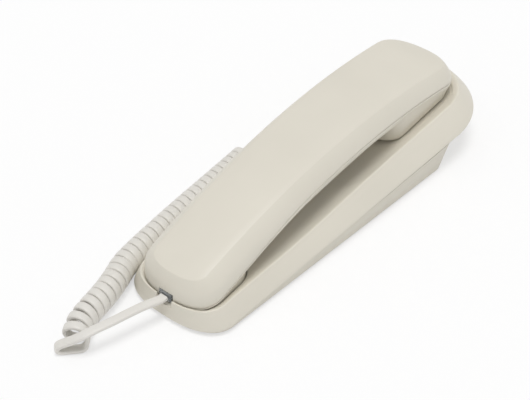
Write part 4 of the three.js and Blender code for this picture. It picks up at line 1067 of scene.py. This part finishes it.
# keys: dished caps with their flange behind the plate, and printed legends
keySizes = {
    "pitchX": 11.6,
    "pitchY": 11.4,
    "width": 8.8,
    "depth": 7.2,
    "topRowDepth": 4.8,
    "stand": 1.7,  # out of the plate
    "digit": 3.3,
    "letters": 1.55,
    "word": 1.9,
    "printLift": 0.1,
}
keyRows = [
    [("redial", "REDIAL", ""), ("flash", "FLASH", ""), ("mute", "MUTE", "")],
    [("1", "1", ""), ("2", "2", "ABC"), ("3", "3", "DEF")],
    [("4", "4", "GHI"), ("5", "5", "JKL"), ("6", "6", "MNO")],
    [("7", "7", "PQRS"), ("8", "8", "TUV"), ("9", "9", "WXYZ")],
    [("star", "*", ""), ("0", "0", ""), ("hash", "#", "")],
]


def keyCap(depth):
    width, top = keySizes["width"], -keySizes["stand"]
    flange = keyPanel["thick"] + phone["gap"]
    levels = [  # width and depth less than the cap's, corner radius, height
        (-1.4, 1.0, flange + 1.0), (-1.4, 1.0, flange), (0, 1.5, flange), (0, 1.5, top + 0.5),
        (0.1, 1.48, top + 0.25), (0.35, 1.4, top + 0.07), (0.8, 1.3, top), (1.3, 1.15, top + 0.03),
        (2.2, 0.9, top + 0.11), (3.4, 0.6, top + 0.17),
    ]
    rings = [roundedRing(width - less, depth - less, radius, height) for less, radius, height in levels]
    first, last = [Vector((0, 0, flange + 1.0))] * 28, [Vector((0, 0, top + 0.2))] * 28
    return loft([first, *rings, last])


def printedText(words, size, x, y):
    # words as a thin mesh that faces out of the panel, towards -Z
    curve = bpy.data.curves.new("legend", "FONT")
    curve.body, curve.size, curve.extrude = words, size, 0.05
    curve.align_x, curve.align_y = "CENTER", "CENTER"
    curve.resolution_u = 3
    holder = bpy.data.objects.new("legend", curve)
    bpy.context.scene.collection.objects.link(holder)
    data = bpy.data.meshes.new_from_object(holder.evaluated_get(bpy.context.evaluated_depsgraph_get()))
    mesh = bmesh.new()
    mesh.from_mesh(data)
    bpy.data.objects.remove(holder)
    bpy.data.curves.remove(curve)
    bpy.data.meshes.remove(data)
    height = -keySizes["stand"] + 0.2 - keySizes["printLift"]
    return moved(mesh, Matrix.Translation((x, y, height)) @ Matrix.Rotation(math.pi, 4, "Y"))


def makeKey(word, letters, depth):
    cap = keyCap(depth)
    if letters:
        digit = printedText(word, keySizes["digit"], 2.0, 0)
        marks = [digit, printedText(letters, keySizes["letters"], -1.7, 0)]
    else:
        marks = [printedText(word, keySizes["word"] if len(word) > 1 else keySizes["digit"], 0, 0)]
    prints = joined(marks)
    for face in prints.faces:
        face.material_index = 1
    return joined([cap, prints])


for row, names in enumerate(keyRows):
    for column, (name, word, letters) in enumerate(names):
        depth = keySizes["topRowDepth"] if row == 0 else keySizes["depth"]
        place = ((1 - column) * keySizes["pitchX"], (2 - row) * keySizes["pitchY"], 0)
        body = moved(makeKey(word, letters, depth), ontoPanel @ Matrix.Translation(place))
        key = newPiece(f"key{name.capitalize()}", body, "keyPlastic", "keyPrint")
        standFor(key, f"button_{name}", "key_plastic", f"key_{name}")
print("keys")


def contacts(name, body, matrix):
    # four gold blades inside a clear plug that points to +Y from its rear face
    blades = [block((0.36, 3.2, 1.5), ((i - 1.5) * 1.06, 8.7, 1.8)) for i in range(4)]
    standFor(newPiece(name, moved(joined(blades), matrix), "gold"), body, "steel")


rearZ = jackPlace["z"] - plug["handsetRear"] * traySlope
handsetRear = Matrix.Translation((jackPlace["x"], jackPlace["face"] - plug["handsetRear"], rearZ))
contacts("handsetPlugContacts", "handset", handsetRear @ Matrix.Rotation(trayTilt, 4, "X"))
baseFace = -plans["hollow"]["earHalf"] - 1
baseRear = Matrix.Translation((baseFace - plug["baseRear"], 25, 7.6))
contacts("basePlugContacts", "base", baseRear @ Matrix.Rotation(-math.pi / 2, 4, "Z"))

# light and floor
light = {
    "horizon": 0.48,
    "zenith": 0.63,
    "sun": 1.32,
    "sunAngle": 24,  # degrees across, for soft shadows
    "sunFrom": (0.1, -0.08, 0.98),
    "floor": (252, 252, 252),
    "floorGlow": 0.55,  # share of plain white that the camera sees in the floor
    "floorSize": 4.0,  # metres
}


def makeWorld(setup):
    world = bpy.data.worlds.new("studio")
    bpy.context.scene.world = world
    world.use_nodes = True
    tree = world.node_tree
    background = tree.nodes["Background"]
    background.inputs["Color"].default_value = (1, 1, 1, 1)
    place, split = tree.nodes.new("ShaderNodeTexCoord"), tree.nodes.new("ShaderNodeSeparateXYZ")
    sky = tree.nodes.new("ShaderNodeMapRange")  # brighter overhead than at the horizon
    sky.inputs["To Min"].default_value = setup["horizon"]
    sky.inputs["To Max"].default_value = setup["zenith"]
    tree.links.new(place.outputs["Generated"], split.inputs["Vector"])
    tree.links.new(split.outputs["Z"], sky.inputs["Value"])
    rays = tree.nodes.new("ShaderNodeLightPath")
    shown = tree.nodes.new("ShaderNodeMath")
    shown.operation = "MAXIMUM"
    tree.links.new(rays.outputs["Is Camera Ray"], shown.inputs[0])
    tree.links.new(rays.outputs["Is Transmission Ray"], shown.inputs[1])
    strength = tree.nodes.new("ShaderNodeMix")
    strength.inputs["B"].default_value = 1.0
    tree.links.new(shown.outputs["Value"], strength.inputs["Factor"])
    tree.links.new(sky.outputs["Result"], strength.inputs["A"])
    tree.links.new(strength.outputs["Result"], background.inputs["Strength"])


def makeSun(setup):
    data = bpy.data.lights.new("softSun", "SUN")
    data.energy = setup["sun"]
    data.angle = math.radians(setup["sunAngle"])
    sun = bpy.data.objects.new("softSun", data)
    sun.rotation_mode = "QUATERNION"
    sun.rotation_quaternion = Vector(setup["sunFrom"]).to_track_quat("Z", "Y")
    bpy.context.scene.collection.objects.link(sun)


def makeFloor(setup):
    mesh = bmesh.new()
    bmesh.ops.create_grid(mesh, x_segments=1, y_segments=1, size=setup["floorSize"] / 2 / mm)
    bmesh.ops.translate(mesh, verts=mesh.verts, vec=(0, 0, -0.05))
    material, tree, shader = newMaterial("paleFloor")
    shader.inputs["Base Color"].default_value = linear(*setup["floor"])
    shader.inputs["Roughness"].default_value = 0.9
    shader.inputs["Specular IOR Level"].default_value = 0.0
    glow, mix = tree.nodes.new("ShaderNodeEmission"), tree.nodes.new("ShaderNodeMixShader")
    rays, share = tree.nodes.new("ShaderNodeLightPath"), tree.nodes.new("ShaderNodeMapRange")
    share.inputs["To Max"].default_value = setup["floorGlow"]
    tree.links.new(rays.outputs["Is Camera Ray"], share.inputs["Value"])
    tree.links.new(share.outputs["Result"], mix.inputs["Fac"])
    tree.links.new(shader.outputs["BSDF"], mix.inputs[1])
    tree.links.new(glow.outputs["Emission"], mix.inputs[2])
    tree.links.new(mix.outputs["Shader"], tree.nodes["Material Output"].inputs["Surface"])
    materials["paleFloor"] = material
    newPiece("floor", mesh, "paleFloor")


makeWorld(light)
makeSun(light)
makeFloor(light)
bpy.context.scene.view_settings.view_transform = "Standard"
print("light and floor")

# the frame's own nodes keep their shape and get their finish
slotFinish = {
    "ivory_plastic": "ivoryPlastic",
    # base_plastic nodes get the darker copy of the ivory, painted shade
    "base_plastic": "shadedBasePlastic",
    "key_plastic": "keyPlastic",
    "black_plastic": "blackPlastic",
    "rubber": "rubber",
    "silicone_mat": "siliconeMat",
    "circuit_board": "circuitBoard",
    "steel": "steel",
    "clear_plastic": "clearPlastic",
    "cord_vinyl": "cordVinyl",
}


def dressNode(node, finishName, width=0.2):
    node.data.materials.clear()
    node.data.materials.append(materials[finishName])
    node.data.shade_smooth()
    weld = node.modifiers.new("weld", "WELD")
    weld.merge_threshold = 0.002 * mm
    edges = node.modifiers.new("edges", "BEVEL")
    edges.width = width * mm
    edges.segments = 2
    edges.limit_method = "ANGLE"
    edges.angle_limit = math.radians(40)
    edges.harden_normals = True


nodeSlots = {}
for part in frame["record"]["subparts"]:
    nodeSlots[part["node"]] = part.get("material_slot") or part.get("material")
for name, node in frame["nodes"].items():
    dressNode(node, slotFinish[nodeSlots[name]])
print("frame nodes dressed")
